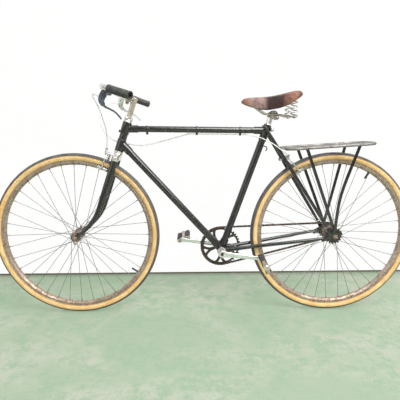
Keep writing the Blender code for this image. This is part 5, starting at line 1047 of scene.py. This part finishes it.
def makeCaliper(tag, body, pivot, pad, boltWay, boltLength, rise):
    look = {"padGap": 0.003, "padThick": 0.0085, "arm": 0.0045}
    down = pad - pivot
    padFace = wheelLook["half"] + look["padGap"]
    footY = padFace + look["padThick"] + 0.0003 + look["arm"]
    footShare = 0.98
    rows = ((footY, footShare, 0.004), (0.0322, 0.86, 0.0046), (0.034, 0.66, 0.0052),
        (0.0342, 0.42, 0.0056), (0.029, 0.18, 0.006), (0.014, 0.02, 0.0064), (0, -0.02, 0.0068))
    bm = bmesh.new()
    for side, lift in ((-1, 0.0022), (1, -0.0022)):
        band = [(*(pivot + down * a + yAxis * (side * o) + boltWay * (lift * (1 - a))), w,
            0.003) for o, a, w in rows]
        addBand(bm, band, (down.normalized().cross(boltWay)), 4, 16, 0.6)
        # slotted foot that grips the pad's stud
        foot = pivot + down * footShare + yAxis * (side * footY)
        addPin(bm, foot, yAxis * side, -0.0035, 0.0035, 0.0062, soft=0.0008)
    addPin(bm, pivot, boltWay, 0.012, -boltLength, 0.003, sides=16)
    addPin(bm, pivot, boltWay, 0.0046, 0.0064, 0.0078, sides=28, soft=0.0004)
    addPin(bm, pivot, boltWay, 0.0064, 0.0112, 0.006, sides=6, soft=0.0006)
    end = pivot - yAxis * 0.04 - down * rise + boltWay * 0.008
    a = pivot - yAxis * 0.018 + down * 0.1
    b = pivot - yAxis * 0.032 - down * 0.06 + boltWay * 0.007
    addBand(bm, [(*a, 0.004, 0.003), (*b, 0.0042, 0.0026), (*end, 0.004, 0.0024)], boltWay, 5, 16,
        0.7)
    settle(tag + "CaliperArms", bm, body, alloy, [tag + "_brake_arms"])
    bm = bmesh.new()
    # return spring, pad nuts and the cable's barrel
    spring = []
    for side in (-1, 1):
        spring.append([pivot + down * a + yAxis * (side * o) - boltWay * 0.0062
            for o, a in ((0.003, 0.02), (0.016, 0.06), (0.026, 0.2), (0.031, 0.42),
            (0.0312, 0.6))])
        foot = pivot + down * footShare + yAxis * (side * (footY + 0.0036))
        addPin(bm, foot, yAxis * side, 0, 0.004, 0.005, sides=6, soft=0.0005)
        addPin(bm, foot, yAxis * side, 0, 0.0058, 0.0024, sides=12)
    path = list(reversed(spring[0])) + spring[1]
    addSweep(bm, smoothPath(path, 3), 0.001, 8)
    addPin(bm, end, boltWay, -0.005, 0.005, 0.003, sides=16, soft=0.0004)
    settle(tag + "CaliperFittings", bm, body, rustySteel)
    way = down.normalized().cross(yAxis).normalized()
    for side, name in ((-1, "left"), (1, "right")):
        centre = pad + yAxis * (side * (padFace + look["padThick"] / 2))
        node = "%s_brake_pad_%s" % (tag, name)
        bm = bmesh.new()
        bmesh.ops.create_cube(bm, size=1.0)
        bmesh.ops.scale(bm, vec=(0.04, look["padThick"] - 0.0012, 0.01), verts=bm.verts)
        bmesh.ops.bevel(bm, geom=list(bm.edges), offset=0.0008, segments=2, profile=0.5,
            affect="EDGES", material=-1)
        turn = Matrix((way, yAxis, -down.normalized())).transposed().to_4x4()
        bmesh.ops.transform(bm, matrix=Matrix.Translation(centre - yAxis * (side * 0.0006)) @ turn,
            verts=bm.verts)
        settle(tag + "PadRubber-" + name, bm, body, blackRubber, [node])
        bm = bmesh.new()
        shoe = centre + yAxis * (side * 0.0022)
        addBand(bm, [(*(shoe - way * 0.0195), 0.0058, 0.0028), (*(shoe + way * 0.0195), 0.0058,
            0.0028)], down, 2, 16, 0.35)
        settle(tag + "PadHolder-" + name, bm, body, alloy)
    return end


crownMid = headFoot - headDir * 0.025
frontPivot = crownMid + headFront * 0.036
frontPad = frontHub + upright(math.radians(67.3)) * padRadius
frontSeat = makeCaliper("front", "steering", frontPivot, frontPad, headFront, 0.0182, 0.36)
stayUp = (topRear - stayFoot).normalized()
behind = Vector((stayUp.z, 0, -stayUp.x))
rearPivot = brakeBridge + behind * 0.019
rearPad = rearHub + upright(math.radians(119.3)) * padRadius
rearSeat = makeCaliper("rear", "frame", rearPivot, rearPad, behind, 0.0125, 0.12)


def makeCables():
    look = {"radius": 0.0022, "sides": 12}
    front = [at(*p) for p in ((-0.929, -0.172, 0.56), (-0.944, -0.169, 0.5675),
        (-0.95, -0.162, 0.56), (-0.939, -0.15, 0.533), (-0.9315, -0.13, 0.506),
        (-0.929, -0.105, 0.477), (-0.9262, -0.085, 0.455), (-0.9262, -0.064, 0.424),
        (-0.928, -0.05, 0.398))]
    front.append(frontSeat + (front[-1] - frontSeat).normalized() * 0.0012)
    loop = [at(*p) for p in ((-0.929, 0.172, 0.556), (-0.956, 0.156, 0.549),
        (-0.978, 0.131, 0.529), (-0.985, 0.1, 0.496), (-0.974, 0.07, 0.458),
        (-0.9545, 0.05, 0.425), (-0.927, 0.037, 0.402), (-0.909, 0.033, 0.392),
        (-0.884, 0.031, 0.385), (-0.86, 0.03, 0.3815))]
    rear = [at(*p) for p in ((-0.8594, 0.03, 0.3814), (-0.848, 0.03, 0.3798),
        (-0.8114, 0.029, 0.3745), (-0.7651, 0.028, 0.38), (-0.7048, 0.024, 0.3949),
        (-0.643, 0.009, 0.412))]
    rear += [topFront.lerp(topRear, share) - up * 0.0173 for share in (0.45, 0.476, 0.537, 0.791,
        0.835, 0.858)]
    rear += [at(*p) for p in ((-0.34, -0.018, 0.413), (-0.315, -0.034, 0.406),
        (-0.29, -0.042, 0.395), (-0.2591, -0.043, 0.378), (-0.225, -0.0415, 0.352))]
    rear.append(rearSeat + (rear[-1] - rearSeat).normalized() * 0.0043)
    for name, body, points, node in (("frontCable", "steering", front, "front_brake_cable"),
            ("rearCable", "frame", rear, "rear_brake_cable"), ("rearCableLoop", None, loop,
            "rear_brake_cable_loop")):
        bm = bmesh.new()
        addSweep(bm, smoothPath(points, 6), look["radius"], look["sides"])
        piece = settle(name, bm, body, cableHousing, [node])
        if body is None:
            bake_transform(piece)


makeCables()
print("stage: brakes and cables done")


def toothOutline(teeth, pitchR):
    rows = []
    for i in range(teeth):
        for share, r in ((0, pitchR - 0.0038), (0.14, pitchR - 0.0028), (0.3, pitchR + 0.0012),
                (0.42, pitchR + 0.0034), (0.58, pitchR + 0.0034), (0.7, pitchR + 0.0012),
                (0.86, pitchR - 0.0028)):
            rows.append(polar(r, 360 * (i + share) / teeth))
    return rows


def pitchRadius(teeth):
    return chainPitch / (2 * math.sin(math.pi / teeth))


def makeChainring():
    holes = []
    for k in range(5):
        mid, fork = 72 * k + 18, 72 * k + 54
        wide = [polar(0.0235, mid + d) for d in (-22, -11, 0, 11, 22)]
        wide += [polar(0.0345, mid + 24.5), polar(0.048, mid + 26), polar(0.062, mid + 22)]
        wide += [polar(r, mid + d) for r, d in ((0.0728, 17.5), (0.0742, 12), (0.0745, 6),
            (0.0745, 0), (0.0745, -6), (0.0742, -12), (0.0728, -17.5))]
        wide += [polar(0.062, mid - 22), polar(0.048, mid - 26), polar(0.0345, mid - 24.5)]
        holes += [wide, [polar(0.056, fork), polar(0.066, fork + 4.5), polar(0.0736, fork + 8),
            polar(0.0745, fork + 3.5), polar(0.0745, fork - 3.5), polar(0.0736, fork - 8),
            polar(0.066, fork - 4.5)]]
    bm = bmesh.new()
    addPlate(bm, bracket + yAxis * chainLine, [toothOutline(42,
        pitchRadius(42))] + holes + [circleOutline(0.015, 48)], 0.0011, 0.0003)
    settle("chainringCut", bm, "crankset", darkSteel, ["chainring"])


def makeCranks():
    bm = bmesh.new()
    addPin(bm, bracket, yAxis, -0.0637, 0.038, 0.008, sides=40)
    settle("bracketSpindleRound", bm, "crankset", darkSteel, ["bracket_spindle"])
    for side, node, way in ((-1, "crank_left", crankDir), (1, "crank_right", -crankDir)):
        here = bracket + yAxis * (side * crankSide)
        there = here + way * crankLength
        bm = bmesh.new()
        rows = [(*(here + way * a), w, t) for a, w, t in ((0.004, 0.013, 0.006),
            (0.016, 0.012, 0.0058), (0.03, 0.0105, 0.0054), (0.08, 0.0092, 0.0048),
            (0.145, 0.008, 0.0045), (0.156, 0.0086, 0.0049), (0.161, 0.0088, 0.0051))]
        addBand(bm, rows, way.cross(yAxis), 3, 20, 0.62)
        inner = 0.0385 if side > 0 else 0.064
        bossR = 0.0147 if side > 0 else 0.016
        addTurned(bm, bracket + yAxis * (side * inner), yAxis * side,
            [(0.0081, 0), (bossR - 0.0006, 0), (bossR, 0.0006), (bossR, 0.0752 - inner),
            (bossR - 0.001, 0.076 - inner), (0.0084, 0.076 - inner), (0.0081, 0.0755 - inner)], 48,
            True)
        addTurned(bm, there - yAxis * (side * 0.006), yAxis * side,
            [(0, 0), (0.0104, 0), (0.011, 0.0008), (0.011, 0.0112), (0.0104, 0.012), (0, 0.012)],
            40)
        addPin(bm, there, yAxis * side, 0, 0.1098, 0.005, soft=0.0005)
        settle("forged-" + node, bm, "crankset", alloy, [node])
        bm = bmesh.new()
        across = way.cross(yAxis)
        addPin(bm, here, across, 0.0188, -0.0188, 0.004, soft=0.0006)
        addPin(bm, here, across, -0.0152, -0.0178, 0.0062, sides=6, soft=0.0005)
        addPin(bm, bracket, yAxis * side, crankSide, 0.0752, 0.0079, sides=32, soft=0.001)
        settle("cotter-" + node, bm, "crankset", darkSteel)


def makePedal(node, body, point, side, tilt):
    # rubber-block pedal: barrel, two plates, two ribbed blocks each side
    look = {"start": 0.084, "end": 0.186, "length": 0.06}
    way = upright(tilt)
    lift = Vector((-way.z, 0, way.x))
    bm = bmesh.new()
    near, far = point + yAxis * (side * look["start"]), point + yAxis * (side * look["end"])
    span, blockAt = look["end"] - look["start"], look["length"] / 2 - 0.01
    addTurned(bm, near, yAxis * side, [(0.0058, 0), (0.01, 0), (0.0105, 0.001), (0.0105, 0.008),
        (0.0088, 0.012), (0.0085, 0.04), (0.009, 0.082), (0.0105, 0.088), (0.0105, span - 0.004),
        (0.0092, span - 0.001), (0.006, span), (0, span), (0, span - 0.002),
        (0.0058, span - 0.002)], 40)
    for spot in (look["start"] + 0.003, look["end"] - 0.01):
        centre = point + yAxis * (side * spot)
        rows = [(*(centre + way * (look["length"] * s)), w, 0.0014) for s, w in ((-0.5, 0.005),
            (-0.47, 0.0062), (-0.3, 0.0075), (-0.1, 0.0112), (0, 0.012), (0.1, 0.0112),
            (0.3, 0.0075), (0.47, 0.0062), (0.5, 0.005))]
        addBand(bm, rows, lift, 2, 20, 0.5)
    for end in (-1, 1):
        spot = point + way * (end * blockAt)
        a = spot + yAxis * (side * (look["start"] - 0.0005))
        addPin(bm, a, yAxis * side, 0, 0.0965, 0.0022, sides=12)
        tipAt = spot + yAxis * (side * (look["end"] - 0.0085))
        addPin(bm, tipAt, yAxis * side, 0, 0.003, 0.004, sides=6, soft=0.0004)
    settle("pedalMetal-" + node, bm, body, pedalSteel, [node])
    bm = bmesh.new()
    addTurned(bm, far - yAxis * (side * 0.006), yAxis * side, [(0.0106, 0), (0.0109, 0.0008),
        (0.0109, 0.003), (0.01, 0.0044), (0.0072, 0.0057), (0, 0.006)], 32)
    settle("pedalCap-" + node, bm, body, chrome)
    bm = bmesh.new()
    for end in (-1, 1):
        spot = point + way * (end * blockAt)
        a = spot + yAxis * (side * (look["start"] + 0.0046))
        b = spot + yAxis * (side * (look["end"] - 0.0117))
        count = 9
        for k in range(count):  # raised pads along the block
            low, high = a.lerp(b, k / count), a.lerp(b, (k + 0.86) / count)
            addBand(bm, [(*low, 0.0112, 0.008), (*high, 0.0112, 0.008)], lift, 1, 16, 0.4)
        addBand(bm, [(*a, 0.01, 0.007), (*b, 0.01, 0.007)], lift, 1, 16, 0.4)
    settle("pedalBlocks-" + node, bm, body, blackRubber)


def makeCogs():
    for name, node, body, side in (("driveCogCut", "drive_cog", "freewheel", 1),
            ("leftCogCut", "left_cog", "rear_wheel", -1)):
        bm = bmesh.new()
        addPlate(bm, rearHub + yAxis * (side * chainLine), [toothOutline(17, pitchRadius(17)),
            circleOutline(0.0172, 40)], 0.0011, 0.0003)
        settle(name, bm, body, darkSteel, [node])


def makeChain():
    ringR, cogR = pitchRadius(42), pitchRadius(17)
    line = rearHub - bracket
    gap, heading = math.hypot(line.x, line.z), math.atan2(line.z, line.x)
    lean = math.acos((ringR - cogR) / gap)
    straight = math.sqrt(gap ** 2 - (ringR - cogR) ** 2)
    total = 2 * straight + ringR * (2 * math.pi - 2 * lean) + cogR * 2 * lean
    count = 2 * round(total / chainPitch / 2)

    def around(centre, radius, a):
        return centre + upright(a) * radius

    def place(s):
        s = s % total
        if s < straight:
            return around(bracket, ringR, heading + lean).lerp(around(rearHub, cogR,
                heading + lean), s / straight)
        s -= straight
        if s < cogR * 2 * lean:
            return around(rearHub, cogR, heading + lean - s / cogR)
        s -= cogR * 2 * lean
        if s < straight:
            return around(rearHub, cogR, heading - lean).lerp(around(bracket, ringR,
                heading - lean), s / straight)
        return around(bracket, ringR, heading - lean - (s - straight) / ringR)

    # one flat link plate, waisted between its two eyes
    linkThick = 0.0009
    eye = [polar(0.004, -90 + 30 * k) for k in range(7)]
    plateShape = [(x + chainPitch / 2, z) for x, z in eye] + [(0, 0.0029)]
    plateShape += [(-x - chainPitch / 2, z) for x, z in reversed(eye)] + [(0, -0.0029)]
    small = bmesh.new()
    bmesh.ops.create_circle(small, cap_ends=True, radius=1.0, segments=len(plateShape))
    for v, (x, z) in zip(small.verts, plateShape):
        v.co = (x, 0, z)
    body = bmesh.ops.extrude_face_region(small, geom=list(small.faces))["geom"]
    bmesh.ops.translate(small, vec=(0, linkThick, 0), verts=onlyVerts(body))
    bmesh.ops.recalc_face_normals(small, faces=small.faces)
    plateMesh = newMesh(small)
    small = bmesh.new()
    addPin(small, Vector(), yAxis, -0.0042, 0.0042, 0.0017, sides=8)
    addPin(small, Vector(), yAxis, -0.0017, 0.0017, 0.003, sides=10)
    pinMesh = newMesh(small)
    bm = bmesh.new()
    step = total / count
    offset = yAxis * chainLine
    for i in range(count):
        a, b = place(i * step), place((i + 1) * step)
        middle, along = (a + b) / 2 + offset, (b - a).normalized()
        turn = Matrix((along, yAxis, along.cross(yAxis))).transposed().to_4x4()
        inner = 0.0017 if i % 2 else 0.0027
        for y in (inner, -inner - linkThick):
            stamp(bm, plateMesh, Matrix.Translation(middle + yAxis * y) @ turn)
        stamp(bm, pinMesh, Matrix.Translation(a + offset))
    settle("chainLinks", bm, "frame", chainSteel, ["chain"])


chainSteel = metal("oilyChainSteel", "darkSteel", colour=(0.085, 0.07, 0.06),
    second=(0.045, 0.038, 0.034), rust=0.46, rustScale=220, rough=(0.34, 0.5))
pedalSteel = metal("dullPedalSteel", "rustySteel", colour=(0.7, 0.66, 0.6),
    second=(0.5, 0.43, 0.36), rust=0.34)
makeChainring()
makeCranks()
makePedal("pedal_left", "left_pedal", bracket + crankDir * crankLength, -1, math.radians(-65))
makePedal("pedal_right", "right_pedal", bracket - crankDir * crankLength, 1, math.radians(20))
makeCogs()
makeChain()
print("stage: drive done")


saddleLook = {"rows": ((-0.392, 0.009, 0.553, 0.545), (-0.384, 0.017, 0.56, 0.541),
    (-0.368, 0.022, 0.5645, 0.5345), (-0.335, 0.026, 0.567, 0.5245), (-0.3, 0.033, 0.5685, 0.519),
    (-0.27, 0.048, 0.572, 0.519), (-0.24, 0.066, 0.578, 0.526), (-0.205, 0.08, 0.5865, 0.542),
    (-0.178, 0.079, 0.591, 0.56), (-0.162, 0.066, 0.585, 0.572)),
    "cross": ((-1.0, 1.0), (-0.98, 0.5), (-0.8, 0.12), (-0.42, 0.01), (0, 0.03), (0.42, 0.01),
    (0.8, 0.12), (0.98, 0.5), (1.0, 1.0)), "leather": 0.0042, "springX": -0.19, "springY": 0.052}


def makeSaddleTop():
    bm = bmesh.new()
    rows = smoothRows(saddleLook["rows"], 5)
    cross = smoothRows(saddleLook["cross"], 4)
    # a flat grid is bent to the sections
    bmesh.ops.create_grid(bm, x_segments=len(rows) - 1, y_segments=len(cross) - 1, size=0.5)
    for v in bm.verts:
        x, half, top, low = rows[round((v.co.x + 0.5) * (len(rows) - 1))]
        share, fall = cross[round((v.co.y + 0.5) * (len(cross) - 1))]
        v.co = at(x, half * share, top - (top - low) * fall)
    bmesh.ops.recalc_face_normals(bm, faces=bm.faces)
    if sum(f.normal.z for f in bm.faces) < 0:
        bmesh.ops.reverse_faces(bm, faces=bm.faces)
    mesh = newMesh(bm, "saddleLeather")
    mesh.shade_smooth()
    top = linked("saddleLeather", mesh)
    shell = top.modifiers.new("thick", "SOLIDIFY")
    shell.thickness = saddleLook["leather"]
    shell.offset = -1
    soft = top.modifiers.new("rolled edge", "BEVEL")
    soft.width = 0.0012
    soft.segments = 3
    soft.limit_method = "ANGLE"
    mesh.materials.append(brownLeather)
    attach(top, "frame")
    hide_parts("saddle_top")
    pieces.append(top)


def leatherTop(x, y):
    rows = smoothRows(saddleLook["rows"], 5)
    cross = smoothRows(saddleLook["cross"], 4)
    row = min(rows, key=lambda r: abs(r[0] - x))
    share, fall = min(cross, key=lambda c: abs(c[0] - y / row[1]))
    return at(x, y, row[2] - (row[2] - row[3]) * fall)


def makeSaddleMetal():
    railZ = 0.499
    springX, springY = saddleLook["springX"], saddleLook["springY"]
    bm = bmesh.new()
    for y in (-0.051, -0.033, 0, 0.033, 0.051):  # copper-headed rivets at the back
        spot = leatherTop(-0.17, y)
        addTurned(bm, spot - up * 0.0012, up + Vector((0.25, 0, 0)),
            [(0, 0), (0.005, 0), (0.0048, 0.0014), (0.003, 0.0026), (0, 0.003)], 24)
    for y in (-0.01, 0.01):
        spot = leatherTop(-0.38, y)
        addTurned(bm, spot - up * 0.0012, up + Vector((-0.5, 0, 0)),
            [(0, 0), (0.0036, 0), (0.0034, 0.0012), (0, 0.0022)], 24)
    settle("saddleRivets", bm, "frame", rivetMetal)
    bm = bmesh.new()
    noseZ = 0.5505
    half = [(-0.372, 0.008, noseZ), (-0.345, 0.012, 0.533), (-0.305, 0.018, 0.506),
        (-0.285, 0.02, railZ + 0.001), (-0.24, 0.022, railZ - 0.002),
        (-0.205, 0.038, railZ - 0.008), (-0.188, 0.05, railZ - 0.01)]
    right = smoothPath([at(*p) for p in half], 6)
    addSweep(bm, [mirrored(p) for p in reversed(right)] + right, 0.0038, 16)
    for y in (-1, 1):  # spring seats with their nuts
        seat = at(springX, y * springY, railZ - 0.012)
        addTurned(bm, seat, up, [(0, 0), (0.014, 0), (0.0155, 0.0012), (0.0155, 0.0032),
            (0.006, 0.004), (0, 0.004)], 32)
        addPin(bm, seat, up, -0.0035, 0.012, 0.003, sides=12)
        addPin(bm, seat, up, -0.0038, 0, 0.0056, sides=6, soft=0.0005)
    bar = [(*at(springX, y, railZ - 0.01), w, 0.002) for y, w in ((-0.06, 0.008), (-0.03, 0.01),
        (0, 0.0105), (0.03, 0.01), (0.06, 0.008))]
    addBand(bm, bar, (1, 0, 0), 3, 16, 0.5)
    nose = [(*at(x, 0, z), w, 0.0014) for x, z, w in ((-0.38, 0.5535, 0.009),
        (-0.368, 0.556, 0.01), (-0.35, 0.557, 0.0115))]
    addBand(bm, nose, (0, 1, 0), 2, 16, 0.6)
    settle("saddleRails", bm, "frame", railSteel, ["saddle_frame"])
    bm = bmesh.new()
    rows = []
    for k in range(9):
        y = -0.06 + 0.015 * k
        spot = leatherTop(springX, y)
        rows.append((spot.x, y, spot.z - 0.0062, 0.0105, 0.0014))
    addBand(bm, rows, (1, 0, 0.3), 2, 16, 0.6)
    settle("saddleCantle", bm, "frame", springSteel, ["saddle_cantle"])
    for side, node in ((-1, "saddle_spring_left"), (1, "saddle_spring_right")):
        low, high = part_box(node)
        bm = bmesh.new()
        wireR, coilR, turns, steps = 0.0023, 0.0135, 4.5, 28
        base, reach = low.z + wireR, high.z - low.z - 2 * wireR
        points = []
        for i in range(int(turns * steps) + 1):
            a = 2 * math.pi * i / steps
            share = i / (turns * steps)
            size = coilR * (1 - 0.1 * math.sin(math.pi * share))
            points.append(Vector((springX + shift.x + size * math.cos(a),
                side * springY + size * math.sin(a), base + reach * share)))
        addSweep(bm, points, wireR, 14)
        settle("coil-" + node, bm, "frame", springSteel, [node])
    bm = bmesh.new()
    clampZ = railZ - 0.0005
    centre = at(-0.262, 0, clampZ)
    addTurned(bm, centre - yAxis * 0.017, yAxis, [(0, 0), (0.0145, 0), (0.016, 0.0012),
        (0.0165, 0.003), (0.0165, 0.011), (0.0135, 0.013), (0.013, 0.017), (0.0135, 0.021),
        (0.0165, 0.023), (0.0165, 0.031), (0.016, 0.0328), (0.0145, 0.034), (0, 0.034)], 40)
    bolt = at(-0.25, 0, clampZ - 0.012)
    addPin(bm, bolt, yAxis, -0.03, 0.03, 0.004, sides=20, soft=0.0006)
    for side in (-1, 1):
        addPin(bm, bolt, yAxis * side, 0.02, 0.0262, 0.0072, sides=6, soft=0.0008)
        addPin(bm, bolt, yAxis * side, 0.0182, 0.02, 0.009, sides=28, soft=0.0004)
    addTurned(bm, seatTop + seatDir * 0.03, seatDir, [(0.011, 0), (0.0142, 0), (0.015, 0.001),
        (0.015, 0.02), (0.014, 0.0212), (0.011, 0.0212)], 40, True)
    settle("saddleClampForged", bm, "frame", railSteel, ["saddle_clamp"])


springSteel = metal("dullSpringWire", "rustySteel", colour=(0.76, 0.74, 0.71),
    second=(0.52, 0.49, 0.45), rust=0.28)
railSteel = metal("greyRailSteel", "rustySteel", colour=(0.62, 0.58, 0.52),
    second=(0.42, 0.38, 0.33), rust=0.34)
rivetMetal = metal("rivetMetal", "rustySteel", colour=(0.46, 0.33, 0.24), second=(0.3, 0.2, 0.14),
    rust=0.4)
makeSaddleTop()
makeSaddleMetal()
print("stage: saddle done")


def makeRack():
    look = {"half": 0.078, "tube": 0.0055, "slat": 0.009, "slatThick": 0.0015}
    front, rear = at(-0.217, 0, 0.3617), at(0.151, 0, 0.3846)
    way, length = (rear - front).normalized(), (rear - front).length
    lift = way.cross(yAxis)
    rows = [front + way * (length * a) + yAxis * (look["half"] * o) for a, o in ((0, 0.62),
        (0.03, 0.8), (0.08, 0.95), (0.15, 1.0), (0.45, 1.0), (0.8, 1.0), (0.9, 0.94), (0.96, 0.78),
        (0.99, 0.5), (1.0, 0.2), (1.0, -0.2))]
    hoop = smoothPath(rows[:-1], 5)
    bm = bmesh.new()
    addSweep(bm, [mirrored(p) for p in hoop] + list(reversed(hoop)), look["tube"] - 0.0001, 18)
    studAt = 0.36  # of the deck's half width
    for share, reach in ((0, 0.6), (0.3, 0.99), (0.62, 0.99)):
        centre = front + way * (length * share)
        half = look["half"] * reach
        slat = [(*(centre + yAxis * (half * k)), look["slat"], look["slatThick"])
            for k in (-1, -0.5, 0, 0.5, 1)]
        addBand(bm, slat, way, 1, 16, 0.35)
        for k in (-studAt, studAt):
            head = centre + yAxis * (look["half"] * k) + lift * 0.002
            addTurned(bm, head, lift, [(0, 0), (0.0042, 0), (0.0038, 0.0014), (0, 0.0022)], 20)
    for out in (-studAt, studAt):
        a = front + yAxis * (look["half"] * out) + lift * 0.001
        b = front + way * (length * 0.985) + yAxis * (look["half"] * out * 0.8) + lift * 0.001
        addBand(bm, [(*a.lerp(b, k / 6), 0.008, 0.0014) for k in range(7)], yAxis, 1, 16, 0.35)
    settle("carrierDeck", bm, "frame", rackSteel, ["rack_top"])
    for side, tag in ((-1, "left"), (1, "right")):
        for name, x, bend, layer, high in (("front", -0.137, None, 0, 1.0),
                ("rear", 0.071, 0.01, 0.0033, 0.96)):
            share = (x + shift.x - front.x) / (rear.x - front.x)
            head = front + way * (length * share) - lift * 0.0061
            head += yAxis * (side * look["half"] * high)
            low = at(-0.006, side * (0.0661 + layer), 0.0265)
            middle = head.lerp(low, 0.5)
            if bend is not None and side < 0:  # the left one is bowed
                middle = at(bend, side * 0.0725, 0.1787)
            rows = [(*(low - up * 0.008), 0.0062, 0.0012), (*(low - up * 0.004), 0.0065, 0.0012),
                (*(low + (middle - low) * 0.12), 0.0065, 0.0012), (*middle, 0.0065, 0.0012),
                (*(head + (middle - head) * 0.08), 0.0065, 0.0012), (*head, 0.0065, 0.0012)]
            bm = bmesh.new()
            addBand(bm, rows, (1, 0, 0), 5, 16, 0.35)
            top = head - up * 0.006
            for spot in (top, low):
                addPin(bm, spot, yAxis * side, -0.0016, 0.003, 0.004, sides=6, soft=0.0005)
            settle("strut-%s-%s" % (name, tag), bm, "frame", enamel,
                ["rack_strut_%s_%s" % (name, tag)])


makeRack()
print("stage: carrier done")


def stagePlate(name, corners, finish):
    # a square grid of one face is bent to the corners
    bm = bmesh.new()
    bmesh.ops.create_grid(bm, x_segments=1, y_segments=1, size=0.5)
    a, b, c, d = (Vector(p) for p in corners)
    for v in bm.verts:
        x, y = v.co.x + 0.5, v.co.y + 0.5
        v.co = a.lerp(b, x).lerp(d.lerp(c, x), y)
    obj = linked(name, newMesh(bm, name))
    obj.data.materials.append(finish)


def paleFinish(name, tones, share, wall=False):
    # dull paint in three mottled tones, shown partly lit by itself
    finish, inputs, where = blank(name)
    tree = finish.node_tree
    wide = noise(where, 2.6, 8.0, 0.66, 0.5)
    fine = noise(moved(where, Location=(3.1, 1.7, 0.4)), 16.0, 11.0, 0.8)
    skin = blend(spread(wide, 0.4, 0.6), tones[0], tones[1])
    skin = blend(spread(fine, 0.44, 0.62), skin, tones[2])
    if not wall:  # painted shade: the floor is darkened in a wide band towards the wall, and more strongly where it meets the wall
        along = axes(where)["Y"]
        foot = plus(spread(along, 0.2, 0.43, 0.0, 0.14), spread(along, 0.385, 0.44, 0.0, 0.5))
        foot = times(foot, spread(along, 0.445, 0.47, 1.0, 0.0))
        skin = blend(foot, skin, (0.12, 0.13, 0.09))
    join(blend(0.55, skin, tones[3]), inputs["Base Color"])
    inputs["Roughness"].default_value = 0.85
    glow = addNode(tree, "ShaderNodeEmission", {"Color": skin, "Strength": 1.0})
    rays = addNode(tree, "ShaderNodeLightPath").outputs
    seen = rays["Is Camera Ray"]
    if wall:
        seen = number("MAXIMUM", seen, number("MAXIMUM", rays["Is Glossy Ray"],
            rays["Is Transmission Ray"]))
    last = addNode(tree, "ShaderNodeMixShader", {0: times(seen, share),
        1: tree.nodes["Principled BSDF"].outputs[0], 2: glow.outputs[0]}).outputs[0]
    if wall:  # clear from behind, so that the other views look through it
        clear = addNode(tree, "ShaderNodeBsdfTransparent").outputs[0]
        back = number("MAXIMUM", rays["Is Shadow Ray"], facing(tree, "Backfacing"))
        last = addNode(tree, "ShaderNodeMixShader", {0: back, 1: last, 2: clear}).outputs[0]
    join(last, tree.nodes["Material Output"].inputs["Surface"])
    return finish


floorZ, wallY = -0.9325, 0.44
half, wallTop = 8, 6
shadeStripY = wallY - 0.002
stagePlate("floor", [(-half, -half, floorZ), (half, -half, floorZ), (half, half, floorZ),
    (-half, half, floorZ)], paleFinish("paleGreenFloor", ((0.425, 0.555, 0.385),
    (0.575, 0.625, 0.485), (0.35, 0.525, 0.34), (0.4, 0.41, 0.39)), 0.62))
stagePlate("wall", [(-half, wallY, floorZ), (half, wallY, floorZ), (half, wallY, wallTop),
    (-half, wallY, wallTop)], paleFinish("whiteWall", ((1.0, 1.0, 0.995), (0.99, 1.0, 0.985),
    (1.0, 1.0, 1.0), (0.96, 0.96, 0.96)), 0.97, True))
# painted shade: a dark strip at the foot of the wall stands in for the shade in the corner where
# wall and floor meet
stagePlate("wallFootShadeStrip", [(-half, shadeStripY, floorZ), (half, shadeStripY, floorZ),
    (half, shadeStripY, floorZ + 0.007), (-half, shadeStripY, floorZ + 0.01)], paleFinish("paintedCornerShade",
    ((0.14, 0.14, 0.09), (0.19, 0.18, 0.12), (0.11, 0.11, 0.08), (0.12, 0.12, 0.09)), 0.6, True))


def addLamp(name, place, target, size, power, tint=(1, 1, 1)):
    data = bpy.data.lights.new(name, "AREA")
    data.size = size
    data.energy = power
    data.color = tint
    lamp = linked(name, data)
    lamp.location = place
    lamp.rotation_mode = "QUATERNION"
    lamp.rotation_quaternion = (Vector(target) - Vector(place)).to_track_quat("-Z", "Y")


addLamp("skyPanel", (0.9, -1.9, 2.4), (-0.35, 0, -0.35), 2.8, 190, (1.0, 0.995, 0.98))
addLamp("sidePanel", (-2.8, -2.2, 1.0), (-0.4, 0, -0.4), 2.2, 17)
world = bpy.data.worlds.new("softRoom")
bpy.context.scene.world = world
world.use_nodes = True
room = world.node_tree.nodes["Background"].inputs
room["Color"].default_value = (1.0, 1.0, 1.0, 1)
rays = addNode(world.node_tree, "ShaderNodeLightPath").outputs
bounced = number("MAXIMUM", rays["Is Glossy Ray"], rays["Is Transmission Ray"])
seen = number("MAXIMUM", rays["Is Camera Ray"], times(bounced, 0.2))
join(plus(times(seen, 0.74), 0.26), room["Strength"])

bpy.context.scene.view_settings.view_transform = "Standard"
lens = bpy.data.cameras.new("camera")
lens.lens = 36.1
lens.sensor_width = 36.0
camera = linked("camera", lens)
camera.matrix_world = Matrix(((0.9997, 0.0059, -0.0229, -0.3771),
    (-0.0236, 0.1859, -0.9823, -1.6595), (-0.0016, 0.9825, 0.186, -0.1244), (0, 0, 0, 1)))
bpy.context.scene.camera = camera

print("stage: %d pieces made, saving the table" % len(pieces))
